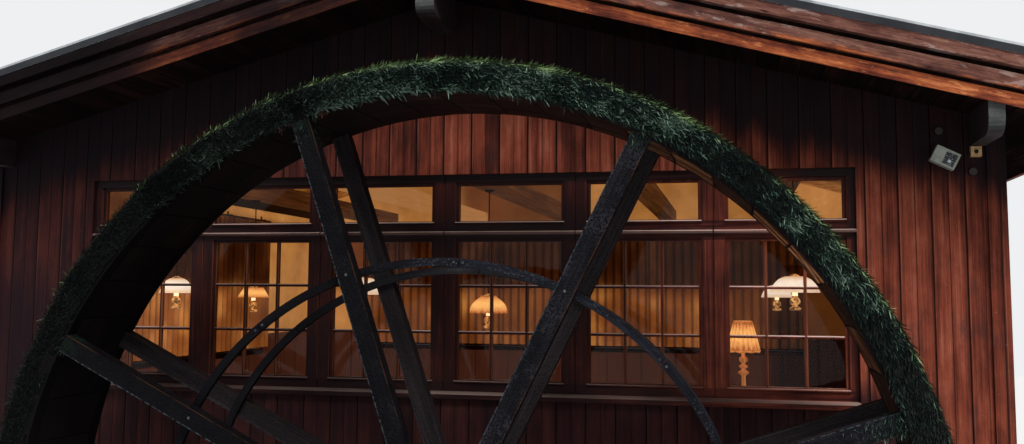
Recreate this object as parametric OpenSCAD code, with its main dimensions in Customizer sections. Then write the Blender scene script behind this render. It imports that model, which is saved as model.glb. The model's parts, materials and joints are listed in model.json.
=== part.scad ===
// Watermill: a boarded gable house on a masonry storey, with a large timber water wheel
// on an axle across the front. X runs along the front, Y into the house, Z up.
// The origin is on the ground, at the middle of the whole mill in plan.

/* [House] */
// Width of the house over its side boards
house_w = 7860; // [7600:20:9000]
// Depth of the house from front boards to rear boards
house_d = 6600; // [5600:100:9000]
// Thickness of the boarded timber walls
wall_t = 180; // [140:10:240]
// Height of the masonry storey, under its timber sill
base_h = 3640; // [3600:10:3800]
// Thickness of the masonry walls
base_t = 450; // [400:10:600]
// How far the masonry stands out past the boards
base_out = 30; // [10:5:60]
// Level of the upper floor boards
floor_z = 3450; // [3400:10:3500]
// Face width of the corner boards
corner_w = 122; // [80:2:160]

/* [Roof] */
// Slope of both roof sides in degrees
roof_pitch = 15.2; // [12:0.1:20]
// Height of the roof edge at the gable's peak
ridge_z = 7680; // [7400:10:8000]
// Depth of the whole roof edge, measured straight down
roof_h = 380; // [300:10:420]
// Overhang of the roof past each gable, to the top verge board
verge_out = 650; // [500:10:800]
// Overhang of the roof past each side wall
eaves_out = 600; // [400:10:800]
// Width of the ridge purlin
ridge_purlin_w = 140; // [100:10:180]
// Height of the ridge purlin
ridge_purlin_h = 280; // [200:10:320]
// Width of the eaves purlins
eaves_purlin_w = 100; // [80:10:120]
// Height of the eaves purlins
eaves_purlin_h = 225; // [180:5:260]

/* [Windows] */
// Width of one window unit, from post to post
unit_w = 1000; // [900:10:1050]
// Number of units in the front and rear window strips
gable_units = 6; // [2:1:6]
// Number of units in each side's window strip
side_units = 3; // [1:1:4]
// Level of the sill's front edge
sill_z = 4297; // [4200:1:4400]
// Top of the recessed casing
head_z = 5934; // [5900:1:6000]
// Width of each pane of glass
glass_w = 785; // [700:5:820]
// Bottom of the lower glass
low_glass_z = 4396; // [4380:1:4450]
// Top of the lower glass
low_glass_top = 5424; // [5300:1:5440]
// Bottom of the transom glass
top_glass_z = 5580; // [5560:1:5650]
// Top of the transom glass
top_glass_top = 5850; // [5750:1:5870]

/* [Room] */
// Distance between the tie beams
beam_pitch = 1300; // [1200:10:1310]
// Width of each tie beam
beam_w = 160; // [120:10:160]
// Height of each tie beam
beam_h = 180; // [120:10:220]
// Height of the standing lamp's shade over the floor, at its rim
stand_rim = 1111; // [1000:1:1200]
// Height of the standing lamp's shade
stand_shade_h = 249; // [200:1:300]

/* [Wheel] */
// Sideways place of the axle from the middle of the gable
wheel_x = 305; // [0:5:600]
// Height of the axle above the ground
wheel_z = 3389; // [3350:1:3420]
// Outer radius of the shrouds
shroud_r = 3120; // [3000:10:3160]
// Inner radius of the shrouds
shroud_in = 2925; // [2800:5:2950]
// Front face of the wheel's timbers, from the front boards
wheel_front = -1236; // [-1300:1:-1200]
// Rear face of the wheel's timbers, from the front boards
wheel_rear = -443; // [-500:1:-400]
// Thickness of the arms and shrouds along the axle
timber_t = 100; // [80:5:120]
// Width of each arm
arm_w = 122; // [80:2:140]
// Number of arms in each set
arm_n = 8; // [4:2:8]
// Turn of the first arm from upright, in degrees
arm_turn = -18.7; // [-22.5:0.1:22.5]
// Middle radius of the inner rings
ring_r = 1885; // [1500:5:2000]
// Number of buckets round the rim
bucket_n = 60; // [24:4:64]
// Radius of the iron gudgeon pins
pin_r = 45; // [30:1:60]

/* [Flood lamp] */
// Sideways place of the flood lamp
lamp_x = 3547; // [3300:1:3600]
// Height of the flood lamp
lamp_z = 5970; // [5700:1:6000]
// Tilt of the flood lamp in the plane of the wall, in degrees
lamp_tilt = 27; // [0:1:45]

/* [Hidden] */
$fn = 180;
e = 1;

half_w = house_w / 2;
slope = tan(roof_pitch);
eaves_x = half_w + eaves_out;
sill_h = 60;
sill_w = 250;
sill_out = 70;
wall_z = base_h + sill_h;
base_half = half_w + base_out;
base_in = base_half - base_t;
deck_t = 50;
joist_n = 9;
joist_w = 80;
joist_h = 200;
girder_w = 250;
girder_h = 280;
corner_t = 22;

// Gap left where a piece is seated along the slope of the roof
seat = 0.1;
sheet_top = 4;
sheet_t = 16;
deck_top = sheet_top + sheet_t;
cap_w = 160;
cap_t = 6;
cap_roll = 18;
flash_t = 4;
flash_drop = 68;
flash_lap = 120;
deck_end = 70;
fascia_t = 25;
drip = 35;
// Each verge board: top and bottom under the roof edge, and its thickness
verge_boards = [[deck_top + seat, 150, 70], [189, 281, 40], [310, 396, 15]];

frame_y = 30;
frame_t = 80;
sash_w = 25;
sash_y = 50;
sash_t = 45;
pane_t = 6;
sill_nose = 50;
sill_t = 45;
sill_rise = 13;
ledge_z = 5495;
ledge_t = 14;
ledge_rise = 8;
bead_out = 18;
bead_t = 22;
groove = 12;
jamb_cut = 20;

beam_z = head_z + 26;
shade_t = 6;
rod_r = 7;
rose_r = 45;
rose_h = 24;
// Outlines of the shades as parts of the rim's radius and of the height
dome = [[1, 0], [0.99, 0.08], [0.88, 0.42], [0.68, 0.78], [0.46, 0.96], [0.36, 1]];
bell = [[1, 0], [0.97, 0.25], [0.86, 0.5], [0.66, 0.72], [0.47, 0.88], [0.4, 1]];
cone = [[1, 0], [0.6, 1]];
// Hanging lamps: sideways place, distance behind the front boards, height of the rim,
// radius of the rim, height of the shade, its outline
hanging_lamps = [[-2635, 741, 5026, 141, 123, dome], [-2610, 2170, 4976, 158, 102, cone],
                 [-1270, 1707, 5021, 195, 150, dome], [0, 1465, 4868, 166, 147, bell],
                 [2600, 838, 5062, 188, 121, dome], [2566, 3685, 5013, 158, 121, dome]];
// Oil holder under a shade, and the glass chimney over it, from the level of the rim
holder = [[0, -142], [30, -142], [45, -132], [42, -124], [22, -112], [20, -102], [36, -90], [41, -72],
          [34, -52], [24, -42], [22, -30]];
standing_lamp_at = [2205, 1600];
stand_rims = [140, 75];
// Turned post of the standing lamp, as radius and height
turned_post = [[0, 0], [150, 0], [150, 18], [62, 46], [36, 84], [28, 200], [30, 420], [44, 560],
               [80, 680], [95, 790], [84, 890], [46, 960], [34, 975], [34, 1000], [26, 1006], [34, 1012],
               [34, 1036], [26, 1042], [34, 1048], [34, 1072], [16, 1080]];
rod_y = wall_t + 55;
curtain_rod_r = 12;
curtain_z = head_z - 9;
curtain_fold = 35;
curtain_side = 20;
curtain_rise = 30;
rod_ends = 150;
bracket_w = 16;
bracket_h = 20;

lamp_size = [165, 115];
lamp_front = -150;
lamp_depth = 70;
lamp_rim = 14;
lamp_foot_r = 38;
lamp_foot_t = 10;
sensor_at = [3763, 6020];
sensor_half = 35;
sensor_out = 45;
eye_r = 11;
eye_deep = 20;
// Two round covers beside the lamp
knobs = [[3530, 6168], [3742, 5884]];
knob_r = 26;
knob_out = 32;

wheel_clear = 60;
axle_flat = 190;
socket_r = 150;
tongue_r = 3050;
sole_t = 25;
ring_w = 60;
ring_t = 40;
bucket_t = 22;
bucket_elbow = 60;
bucket_board = 140;
bucket_lean = 150;
bucket_drop = 5;
moss_t = 40;
moss_in = 2934;
moss_out = 3150;
moss_band = 236;
axle_front = wheel_front - 204;
axle_back = -wheel_clear;
hoop_w = 70;
hoop_t = 10;
plate_t = 20;
pin_past = 25;
running_gap = 0.05;
bearing_h = 200;
bearing_d = 160;
bearing_foot = 210;
bearing_w = 150;
boss_r = 102;
foot_t = 36;
pier_back = -1500;
pier_front = -2050;
pier_foot = 560;
pier_cap = 450;
pier_cap_h = 130;
pier_lip = 30;
wall_pin_y = 120;
niche_w = 760;
niche_d = 300;
door_x = -1500;
door_w = 1000;
door_h = 2100;
door_t = 90;
door_post = 80;
door_step = 30;
door_recess = 120;

// The whole mill is centred between its outer pier and its rear verge flashing
front_y = -(house_d + verge_out + flash_t + pier_front) / 2;

function soffit(x) = ridge_z - roof_h - slope * abs(x);
function roof_line(x, drop) = ridge_z - drop - slope * x;

purlin_x = half_w - wall_t - 20;
ridge_bottom = soffit(0) - ridge_purlin_h;
eaves_bottom = soffit(purlin_x) - eaves_purlin_h;
head_gap = 10;
head_round = 120;
ridge_head_curve = 90;
eaves_head_curve = 105;

module at_house() {
    translate([0, front_y, 0]) children();
}

module box(lo, hi) {
    translate(lo) cube(hi - lo);
}

// A prism along Y from an outline in X and Z
module along_y(y0, y1) {
    translate([0, y1, 0]) rotate([90, 0, 0]) linear_extrude(height = y1 - y0) children();
}

// A prism along X from an outline in Y and Z
module along_x(x0, x1) {
    translate([x0, 0, 0]) rotate([90, 0, 90]) linear_extrude(height = x1 - x0) children();
}

module both_sides() {
    children();
    mirror([1, 0, 0]) children();
}

// Moves a piece of the front gable to the rear gable
module to_rear() {
    translate([0, house_d, 0]) rotate(180) children();
}

// Moves a piece made for the front to the right or left wall
module to_right() {
    translate([half_w, house_d / 2, 0]) rotate(90) children();
}

module to_left() {
    translate([-half_w, house_d / 2, 0]) rotate(-90) children();
}

// Masonry storey

module base_long() {
    box([-base_half, -base_out, 0], [base_half, base_t - base_out, base_h]);
}

module base_side() {
    box([base_in, base_t - base_out, 0], [base_half, house_d - base_t + base_out, base_h]);
}

module base_front() {
    color("gray") difference() {
        base_long();
        box([wheel_x - niche_w / 2, -base_out - e, wheel_z - bearing_h],
            [wheel_x + niche_w / 2, niche_d - base_out, base_h + e]);
    }
}

module base_rear() {
    color("gray") difference() {
        to_rear() base_long();
        box([door_x - door_w / 2, house_d - base_t - base_out, -e],
            [door_x + door_w / 2, house_d + base_out + e, door_h]);
    }
}

module base_left() {
    color("gray") mirror([1, 0, 0]) base_side();
}

module base_right() {
    color("gray") base_side();
}

// Timber sill of one side, with a weathered nose, cut to mitres at its ends
module sill_run(half_len, face) {
    in = sill_w - sill_out;
    intersection() {
        rotate([90, 0, 90]) linear_extrude(height = 2 * half_len, center = true)
            mirror([1, 0]) translate([face, 0])
                polygon([[-in, base_h], [sill_out, base_h], [sill_out, base_h + sill_h / 3],
                         [0, wall_z], [-in, wall_z]]);
        linear_extrude(height = wall_z + e)
            polygon([[-half_len, -face - sill_out], [half_len, -face - sill_out],
                     [half_len - sill_w, in - face], [sill_w - half_len, in - face]]);
    }
}

module ground_sill() {
    long = half_w + sill_out;
    deep = house_d / 2 + sill_out;
    color("saddlebrown") translate([0, house_d / 2, 0]) {
        for (turn = [0, 180]) rotate(turn) sill_run(long, house_d / 2);
        for (turn = [90, 270]) rotate(turn) sill_run(deep, half_w);
    }
}

// Boarded leaf in its frame, set back in the doorway
module base_door() {
    half = door_w / 2;
    leaf = half - door_post;
    color("sienna") translate([door_x, house_d + base_out - door_recess, 0]) difference() {
        box([-half, -door_t, 0], [half, 0, door_h]);
        box([-leaf, -door_step, -e], [leaf, e, door_h - door_post]);
        box([-leaf, -door_t - e, -e], [leaf, door_step / 2 - door_t, door_h - door_post]);
    }
}

module floor_deck() {
    in = base_t - base_out;
    color("burlywood") box([-base_in, in, floor_z - deck_t], [base_in, house_d - in, floor_z]);
}

// Joists across the house on a girder along its middle
module floor_joists() {
    in = base_t - base_out;
    top = floor_z - deck_t;
    pitch = (house_d - 2 * in) / joist_n;
    color("peru") {
        for (i = [0 : joist_n - 1]) translate([0, in + (i + 0.5) * pitch, 0])
            box([-base_in, -joist_w / 2, top - joist_h], [base_in, joist_w / 2, top]);
        box([-girder_w / 2, in, top - joist_h - girder_h], [girder_w / 2, house_d - in, top - joist_h]);
    }
}

// Timber storey

module strip_opening(n) {
    half = n * unit_w / 2 - jamb_cut;
    box([-half, -e, sill_z - sill_t], [half, wall_t + e, head_z]);
}

// Sections of the purlins in X and Z, cut off above by the roof
module ridge_purlin_section() {
    half = ridge_purlin_w / 2;
    translate([-half, ridge_bottom]) square([ridge_purlin_w, roof_h]);
}

module eaves_purlin_section() {
    translate([purlin_x, eaves_bottom]) square([eaves_purlin_w, roof_h]);
}

module gable_outline() {
    difference() {
        polygon([[-half_w, wall_z], [half_w, wall_z], [half_w, soffit(half_w)], [0, soffit(0)],
                 [-half_w, soffit(half_w)]]);
        ridge_purlin_section();
        both_sides() eaves_purlin_section();
    }
}

module gable_wall() {
    difference() {
        along_y(0, wall_t) gable_outline();
        strip_opening(gable_units);
    }
}

module front_wall() {
    color("brown") gable_wall();
}

module rear_wall() {
    color("brown") to_rear() gable_wall();
}

module side_wall() {
    inner = half_w - wall_t;
    difference() {
        along_y(wall_t, house_d - wall_t) difference() {
            polygon([[inner, wall_z], [half_w, wall_z], [half_w, soffit(half_w)], [inner, soffit(inner)]]);
            eaves_purlin_section();
        }
        to_right() strip_opening(side_units);
    }
}

module left_wall() {
    color("brown") mirror([1, 0, 0]) side_wall();
}

module right_wall() {
    color("brown") side_wall();
}

module corner_board() {
    t = corner_t;
    intersection() {
        linear_extrude(height = ridge_z)
            polygon([[half_w + t - corner_w, -t], [half_w + t, -t], [half_w + t, corner_w - t],
                     [half_w, corner_w - t], [half_w, 0], [half_w + t - corner_w, 0]]);
        along_y(-2 * t, corner_w)
            polygon([[0, wall_z], [half_w + corner_w, wall_z],
                     [half_w + corner_w, soffit(half_w + corner_w) - seat], [0, soffit(0) - seat]]);
    }
}

module corner_boards() {
    color("brown") both_sides() {
        corner_board();
        translate([0, house_d, 0]) mirror([0, 1, 0]) corner_board();
    }
}

// Window strips, made for a wall whose outer face is at y = 0

module each_unit(n) {
    for (i = [0 : n - 1]) translate([(i + 0.5 - n / 2) * unit_w, 0, 0]) children();
}

module light_opening(z0, z1, margin, y0, y1) {
    box([-glass_w / 2 - margin, y0, z0 - margin], [glass_w / 2 + margin, y1, z1 + margin]);
}

module both_lights(margin, y0, y1) {
    light_opening(low_glass_z, low_glass_top, margin, y0, y1);
    light_opening(top_glass_z, top_glass_top, margin, y0, y1);
}

// Moulded bead that throws water off under one light
module bead(z) {
    half = glass_w / 2 + sash_w;
    along_x(-half, half)
        polygon([[frame_y, z - bead_t], [frame_y - bead_out + 6, z - bead_t],
                 [frame_y - bead_out, z - bead_t + 6], [frame_y - bead_out, z - 8], [frame_y, z]]);
}

module sill_section() {
    polygon([[-sill_nose, sill_z - sill_t + 10], [-sill_nose, sill_z - 4], [-sill_nose + 4, sill_z],
             [frame_y, sill_z + sill_rise], [wall_t, sill_z + sill_rise], [wall_t, sill_z - sill_t],
             [0, sill_z - sill_t], [0, sill_z - sill_t + 4], [-30, sill_z - sill_t + 10]]);
}

module window_frame(n) {
    half = n * unit_w / 2 - jamb_cut;
    difference() {
        union() {
            box([-half, frame_y, sill_z + sill_rise], [half, frame_y + frame_t, head_z]);
            along_x(-half, half)
                polygon([[0, ledge_z - ledge_t], [0, ledge_z], [frame_y, ledge_z + ledge_rise],
                         [frame_y + e, ledge_z + ledge_rise], [frame_y + e, ledge_z - ledge_t]]);
            along_x(-half, half) sill_section();
            each_unit(n) {
                bead(low_glass_z - 5);
                bead(top_glass_z - 5);
            }
        }
        each_unit(n) both_lights(sash_w, frame_y - e, frame_y + frame_t + e);
        for (i = [1 : n - 1]) translate([(i - n / 2) * unit_w, 0, 0]) {
            box([-groove / 2, frame_y - e, sill_z + sill_rise],
                [groove / 2, frame_y + groove, ledge_z - ledge_t]);
            box([-groove / 2, frame_y - e, ledge_z + ledge_rise],
                [groove / 2, frame_y + groove, head_z + e]);
        }
    }
}

module sashes(n) {
    each_unit(n) difference() {
        both_lights(sash_w, sash_y, sash_y + sash_t);
        both_lights(0, sash_y - e, sash_y + sash_t + e);
    }
}

module panes(n) {
    pane_y = sash_y + sash_t / 2;
    each_unit(n) both_lights(0, pane_y, pane_y + pane_t);
}

module front_window_frame() {
    color("maroon") window_frame(gable_units);
}

module rear_window_frame() {
    color("maroon") to_rear() window_frame(gable_units);
}

module left_window_frame() {
    color("maroon") to_left() window_frame(side_units);
}

module right_window_frame() {
    color("maroon") to_right() window_frame(side_units);
}

module window_sashes() {
    color("brown") {
        sashes(gable_units);
        to_rear() sashes(gable_units);
        to_left() sashes(side_units);
        to_right() sashes(side_units);
    }
}

module window_glass() {
    color("orange", 0.5) {
        panes(gable_units);
        to_rear() panes(gable_units);
        to_left() panes(side_units);
        to_right() panes(side_units);
    }
}

// Room behind the windows

module tie_beams() {
    color("saddlebrown") for (i = [-2 : 2])
        box([i * beam_pitch - beam_w / 2, wall_t, beam_z],
            [i * beam_pitch + beam_w / 2, house_d - wall_t, beam_z + beam_h]);
}

// Open shade, closed on top by the plate that carries it
module shade(outline, r, h) {
    last = len(outline) - 1;
    rotate_extrude() polygon(concat(
        [for (p = outline) [p[0] * r, p[1] * h]],
        [[0, h], [0, h - shade_t]],
        [for (i = [last : -1 : 0])
            [outline[i][0] * r - shade_t, i == last ? h - shade_t : outline[i][1] * (h - shade_t)]]));
}

// Hanging lamp with its rod and ceiling rose, from the middle of its rim
module hanging_lamp(r, h, outline, drop) {
    shade(outline, r, h);
    rotate_extrude() polygon(concat(holder, [[22, h - shade_t / 2], [0, h - shade_t / 2]]));
    translate([0, 0, h - shade_t / 2]) cylinder(r = rod_r, h = drop - h + shade_t / 2);
    translate([0, 0, drop - rose_h]) cylinder(r = rose_r, h = rose_h);
}

module standing_lamp() {
    top = stand_rim + stand_shade_h - shade_t / 2;
    translate([0, 0, stand_rim])
        shade([[1, 0], [stand_rims[1] / stand_rims[0], 1]], stand_rims[0], stand_shade_h);
    rotate_extrude() polygon(concat(turned_post, [[16, top], [0, top]]));
}

module room_lamps() {
    color("moccasin") {
        for (p = hanging_lamps)
            translate([p[0], p[1], p[2]]) hanging_lamp(p[3], p[4], p[5], beam_z - p[2]);
        translate([standing_lamp_at[0], standing_lamp_at[1], floor_z]) standing_lamp();
    }
}

// Rod along one window strip, on four brackets
module strip_rod(n) {
    half = n * unit_w / 2 - jamb_cut;
    reach = half - rod_ends;
    along_x(-half, half) translate([rod_y, curtain_z]) circle(r = curtain_rod_r);
    for (x = [-reach : 2 * reach / 3 : reach + e]) translate([x, 0, curtain_z]) {
        box([-bracket_w, wall_t, -bracket_h / 4], [bracket_w, wall_t + bracket_w / 2, 3 * bracket_h]);
        box([-bracket_w / 2, wall_t, -bracket_h / 4],
            [bracket_w / 2, rod_y + curtain_rod_r, bracket_h]);
    }
}

module curtain_rods() {
    color("dimgray") {
        to_rear() strip_rod(gable_units);
        to_left() strip_rod(side_units);
        to_right() strip_rod(side_units);
    }
}

// Plain bodies of the drawn curtains of one strip
module strip_curtains(n) {
    half = unit_w / 2 - curtain_side;
    each_unit(n) box([-half, rod_y - curtain_fold, sill_z + sill_rise + curtain_rise],
                     [half, rod_y + curtain_fold, curtain_z - curtain_rod_r]);
}

module curtains() {
    color("peru") {
        to_rear() strip_curtains(gable_units);
        to_left() strip_curtains(side_units);
        to_right() strip_curtains(side_units);
    }
}

// Roof

// A layer of the right roof side between two depths under the roof edge
module roof_layer(x0, x1, top, bottom, y0, y1) {
    along_y(y0, y1)
        polygon([[x0, roof_line(x0, top)], [x1, roof_line(x1, top)],
                 [x1, roof_line(x1, bottom)], [x0, roof_line(x0, bottom)]]);
}

module roof_side() {
    deck_y = verge_out - deck_end;
    roof_layer(0, eaves_x - fascia_t, deck_top, roof_h, -deck_y, house_d + deck_y);
}

module roof_left() {
    color("tan") mirror([1, 0, 0]) roof_side();
}

module roof_right() {
    color("tan") roof_side();
}

module sheet_side() {
    roof_layer(0, eaves_x + drip, sheet_top, deck_top, -verge_out, house_d + verge_out);
}

module roof_sheet_left() {
    color("slategray") mirror([1, 0, 0]) sheet_side();
}

module roof_sheet_right() {
    color("slategray") sheet_side();
}

// Folded cap with a round roll along the ridge
module ridge_cap() {
    y0 = flash_lap - verge_out - flash_t;
    mid = roof_line(0, sheet_top - seat);
    edge = roof_line(cap_w, sheet_top - seat);
    color("slategray") along_y(y0, house_d - y0) {
        difference() {
            translate([0, ridge_z]) circle(r = cap_roll);
            polygon([[-cap_w, edge], [0, mid], [cap_w, edge], [0, mid - cap_w]]);
        }
        polygon([[-cap_w, edge], [0, mid], [cap_w, edge],
                 [cap_w, edge + cap_t], [0, mid + cap_t], [-cap_w, edge + cap_t]]);
    }
}

// Stepped boards of one verge, each lower one set back
module verge_set() {
    back = deck_end - verge_out;
    for (b = verge_boards) roof_layer(0, eaves_x, b[0], b[1], back - b[2], back);
}

module verge_boards_right() {
    verge_set();
    translate([0, house_d, 0]) mirror([0, 1, 0]) verge_set();
}

module right_verge_boards() {
    color("chocolate") verge_boards_right();
}

module left_verge_boards() {
    color("chocolate") mirror([1, 0, 0]) verge_boards_right();
}

module flashing_run() {
    roof_layer(0, eaves_x + drip, 0, sheet_top, -verge_out - flash_t, flash_lap - verge_out - flash_t);
    roof_layer(0, eaves_x + drip, 0, flash_drop, -verge_out - flash_t, -verge_out);
}

module verge_flashing() {
    color("gainsboro") both_sides() {
        flashing_run();
        translate([0, house_d, 0]) mirror([0, 1, 0]) flashing_run();
    }
}

module eaves_boards() {
    deck_y = verge_out - deck_end;
    color("chocolate") both_sides()
        roof_layer(eaves_x - fascia_t, eaves_x, deck_top + seat, roof_h + 15, -deck_y, house_d + deck_y);
}

// Side outline of a purlin whose heads are rounded underneath
module purlin_side(bottom, rise) {
    head = verge_out - deck_end - head_gap;
    curve = [for (a = [0 : 15 : 90]) [head_round * (1 - sin(a)), rise * (1 - cos(a))]];
    polygon(concat(
        [[-head, ridge_z]],
        [for (i = [len(curve) - 1 : -1 : 0]) [-head + curve[i][0], bottom + curve[i][1]]],
        [for (p = curve) [house_d + head - p[0], bottom + p[1]]],
        [[house_d + head, ridge_z]]));
}

// What lies under the roof slabs
module under_roof() {
    edge = soffit(eaves_x) - seat;
    polygon([[-eaves_x, 0], [eaves_x, 0], [eaves_x, edge], [0, soffit(0) - seat], [-eaves_x, edge]]);
}

module ridge_purlin() {
    half = ridge_purlin_w / 2;
    color("whitesmoke") intersection() {
        along_x(-half, half) purlin_side(ridge_bottom, ridge_head_curve);
        along_y(-verge_out, house_d + verge_out) under_roof();
    }
}

module eaves_purlins() {
    color("whitesmoke") both_sides() intersection() {
        along_x(purlin_x, purlin_x + eaves_purlin_w) purlin_side(eaves_bottom, eaves_head_curve);
        along_y(-verge_out, house_d + verge_out) under_roof();
    }
}

// Small fittings on the front wall

// A disc or post that stands out from the wall
module stud(x, z, r, y0, y1) {
    translate([x, 0, z]) along_y(y0, y1) circle(r = r);
}

// Housing on a post and a round foot, with its window in the right half
module flood_lamp() {
    w = lamp_size[0] / 2;
    h = lamp_size[1] / 2;
    back = lamp_front + lamp_depth;
    color("lightgray") translate([lamp_x, 0, lamp_z]) rotate([0, lamp_tilt, 0]) {
        difference() {
            box([-w, lamp_front, -h], [w, back, h]);
            box([-w / 8, lamp_front - e, lamp_rim - h],
                [w - lamp_rim, lamp_front + lamp_rim, h - lamp_rim]);
        }
        stud(0, 0, lamp_rim, back, 0);
        stud(0, 0, lamp_foot_r, -lamp_foot_t, 0);
    }
}

module wall_sensors() {
    color("ivory") {
        difference() {
            translate([sensor_at[0], 0, sensor_at[1]])
                box([-sensor_half, -sensor_out, -sensor_half], [sensor_half, 0, sensor_half]);
            stud(sensor_at[0], sensor_at[1], eye_r, -sensor_out - e, eye_deep - sensor_out);
        }
        for (p = knobs) stud(p[0], p[1], knob_r, -knob_out, 0);
    }
}

// Outer pier and bearings

module outer_pier() {
    top = wheel_z - bearing_h;
    under = top - pier_cap_h;
    neck = pier_cap - pier_lip;
    color("gray") translate([wheel_x, 0, 0]) {
        along_y(pier_front + pier_lip, pier_back - pier_lip)
            polygon([[-pier_foot, 0], [pier_foot, 0], [neck, under], [-neck, under]]);
        box([-pier_cap, pier_front, under], [pier_cap, pier_back, top]);
    }
}

// Iron pedestal bearing with its bore at the origin
module bearing() {
    half = bearing_d / 2;
    difference() {
        union() {
            box([-bearing_foot, -half, -bearing_h], [bearing_foot, half, foot_t - bearing_h]);
            along_y(-half, half) {
                polygon([[-bearing_w, -bearing_h], [bearing_w, -bearing_h], [boss_r, 0], [-boss_r, 0]]);
                circle(r = boss_r);
            }
            box([-bearing_w, foot_t / 2 - half, 0], [bearing_w, half - foot_t / 2, foot_t * 2 / 3]);
        }
        along_y(-bearing_d, bearing_d) circle(r = pin_r + running_gap);
    }
}

module outer_bearing() {
    color("dimgray") translate([wheel_x, (pier_front + pier_back) / 2, wheel_z]) bearing();
}

module wall_bearing() {
    color("dimgray") translate([wheel_x, wall_pin_y, wheel_z]) bearing();
}

// Water wheel, made round the axle

module at_axle() {
    translate([wheel_x, 0, wheel_z]) children();
}

module ring(r0, r1, y0, y1) {
    along_y(y0, y1) difference() {
        circle(r = r1);
        circle(r = r0);
    }
}

module each_arm() {
    for (k = [0 : arm_n - 1]) rotate([0, arm_turn + k * 360 / arm_n, 0]) children();
}

module arm_bars(y0, r1) {
    each_arm() box([-arm_w / 2, y0, socket_r], [arm_w / 2, y0 + timber_t, r1]);
}

// Half-thick tongues on the arm ends, let into the shroud
module tongues(y0) {
    each_arm() box([-arm_w / 2, y0, shroud_in - 60], [arm_w / 2, y0 + timber_t / 2, tongue_r]);
}

module octagon(flat, y0, y1) {
    rotate([0, arm_turn, 0]) along_y(y0, y1) rotate(180 / arm_n)
        circle(r = flat / cos(180 / arm_n), $fn = arm_n);
}

module axle() {
    color("saddlebrown") at_axle() difference() {
        octagon(axle_flat, axle_front, axle_back);
        arm_bars(wheel_front, axle_flat + timber_t);
        arm_bars(wheel_rear - timber_t, axle_flat + timber_t);
    }
}

// Hoop, end plate and gudgeon pin of one end of the axle
module end_iron(end, dir, pin_len) {
    outer = axle_flat + hoop_t;
    y0 = min(end, end + dir * plate_t);
    hoop = end - dir * hoop_w;
    octagon(outer, y0, y0 + plate_t);
    difference() {
        octagon(outer, min(hoop, end), max(hoop, end));
        octagon(axle_flat, min(hoop, end) - e, max(hoop, end) + e);
    }
    along_y(min(end, end + dir * pin_len), max(end, end + dir * pin_len)) circle(r = pin_r);
}

module axle_irons() {
    reach = bearing_d / 2 + pin_past;
    outer_end = (pier_front + pier_back) / 2 - reach;
    wall_end = wall_pin_y + reach;
    color("dimgray") at_axle() {
        end_iron(axle_front, -1, axle_front - outer_end);
        end_iron(axle_back, 1, wall_end - axle_back);
    }
}

module front_arms() {
    color("darkslategray") at_axle() {
        intersection() {
            arm_bars(wheel_front, shroud_r);
            along_y(wheel_front - e, wheel_front + timber_t + e) circle(r = shroud_in);
        }
        tongues(wheel_front);
    }
}

module rear_arms() {
    color("darkslategray") at_axle() {
        intersection() {
            arm_bars(wheel_rear - timber_t, shroud_r);
            along_y(wheel_rear - timber_t - e, wheel_rear + e) circle(r = shroud_in);
        }
        tongues(wheel_rear - timber_t / 2);
    }
}

module inner_rings() {
    front = wheel_front + timber_t;
    rear = wheel_rear - timber_t;
    color("darkslategray") at_axle() {
        ring(ring_r - ring_w / 2, ring_r + ring_w / 2, front, front + ring_t);
        ring(ring_r - ring_w / 2, ring_r + ring_w / 2, rear - ring_t, rear);
    }
}

module front_shroud() {
    color("dimgray") at_axle() difference() {
        ring(shroud_in, shroud_r, wheel_front, wheel_front + timber_t);
        tongues(wheel_front);
    }
}

module rear_shroud() {
    color("dimgray") at_axle() difference() {
        ring(shroud_in, shroud_r, wheel_rear - timber_t, wheel_rear);
        tongues(wheel_rear - timber_t / 2);
    }
}

module sole() {
    color("sienna") at_axle()
        ring(shroud_in, shroud_in + sole_t, wheel_front + timber_t, wheel_rear - timber_t);
}

// Two boards that meet at an elbow: a radial one on the sole and a sloping one to the rim
module bucket_section() {
    t = bucket_t / 2;
    over = bucket_elbow + bucket_board;
    polygon([[-t, -e], [t, -e], [t, bucket_elbow - t], [bucket_lean + t, over],
             [bucket_lean - bucket_t, over], [-t, bucket_elbow + t]]);
}

module buckets() {
    r0 = shroud_in + sole_t;
    step = 360 / bucket_n;
    color("saddlebrown") at_axle() along_y(wheel_front + timber_t, wheel_rear - timber_t) intersection() {
        for (k = [0 : bucket_n - 1]) rotate(-(k + 0.5) * step) translate([0, r0]) bucket_section();
        difference() {
            circle(r = shroud_r - bucket_drop);
            circle(r = r0);
        }
    }
}

module rim_moss() {
    face = wheel_front - moss_t;
    color("olivedrab") at_axle() rotate([-90, 0, 0]) rotate_extrude()
        polygon([[moss_in, face], [moss_out, face], [moss_out, wheel_front + moss_band],
                 [shroud_r, wheel_front + moss_band], [shroud_r, wheel_front], [moss_in, wheel_front]]);
}

at_house() base_front();
at_house() base_rear();
at_house() base_left();
at_house() base_right();
at_house() ground_sill();
at_house() base_door();
at_house() floor_deck();
at_house() floor_joists();
at_house() front_wall();
at_house() rear_wall();
at_house() left_wall();
at_house() right_wall();
at_house() corner_boards();
at_house() front_window_frame();
at_house() rear_window_frame();
at_house() left_window_frame();
at_house() right_window_frame();
at_house() window_sashes();
at_house() window_glass();
at_house() tie_beams();
at_house() room_lamps();
at_house() curtain_rods();
at_house() curtains();
at_house() roof_left();
at_house() roof_right();
at_house() roof_sheet_left();
at_house() roof_sheet_right();
at_house() ridge_cap();
at_house() left_verge_boards();
at_house() right_verge_boards();
at_house() verge_flashing();
at_house() eaves_boards();
at_house() ridge_purlin();
at_house() eaves_purlins();
at_house() flood_lamp();
at_house() wall_sensors();
at_house() outer_pier();
at_house() outer_bearing();
at_house() wall_bearing();
at_house() axle();
at_house() axle_irons();
at_house() front_arms();
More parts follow.
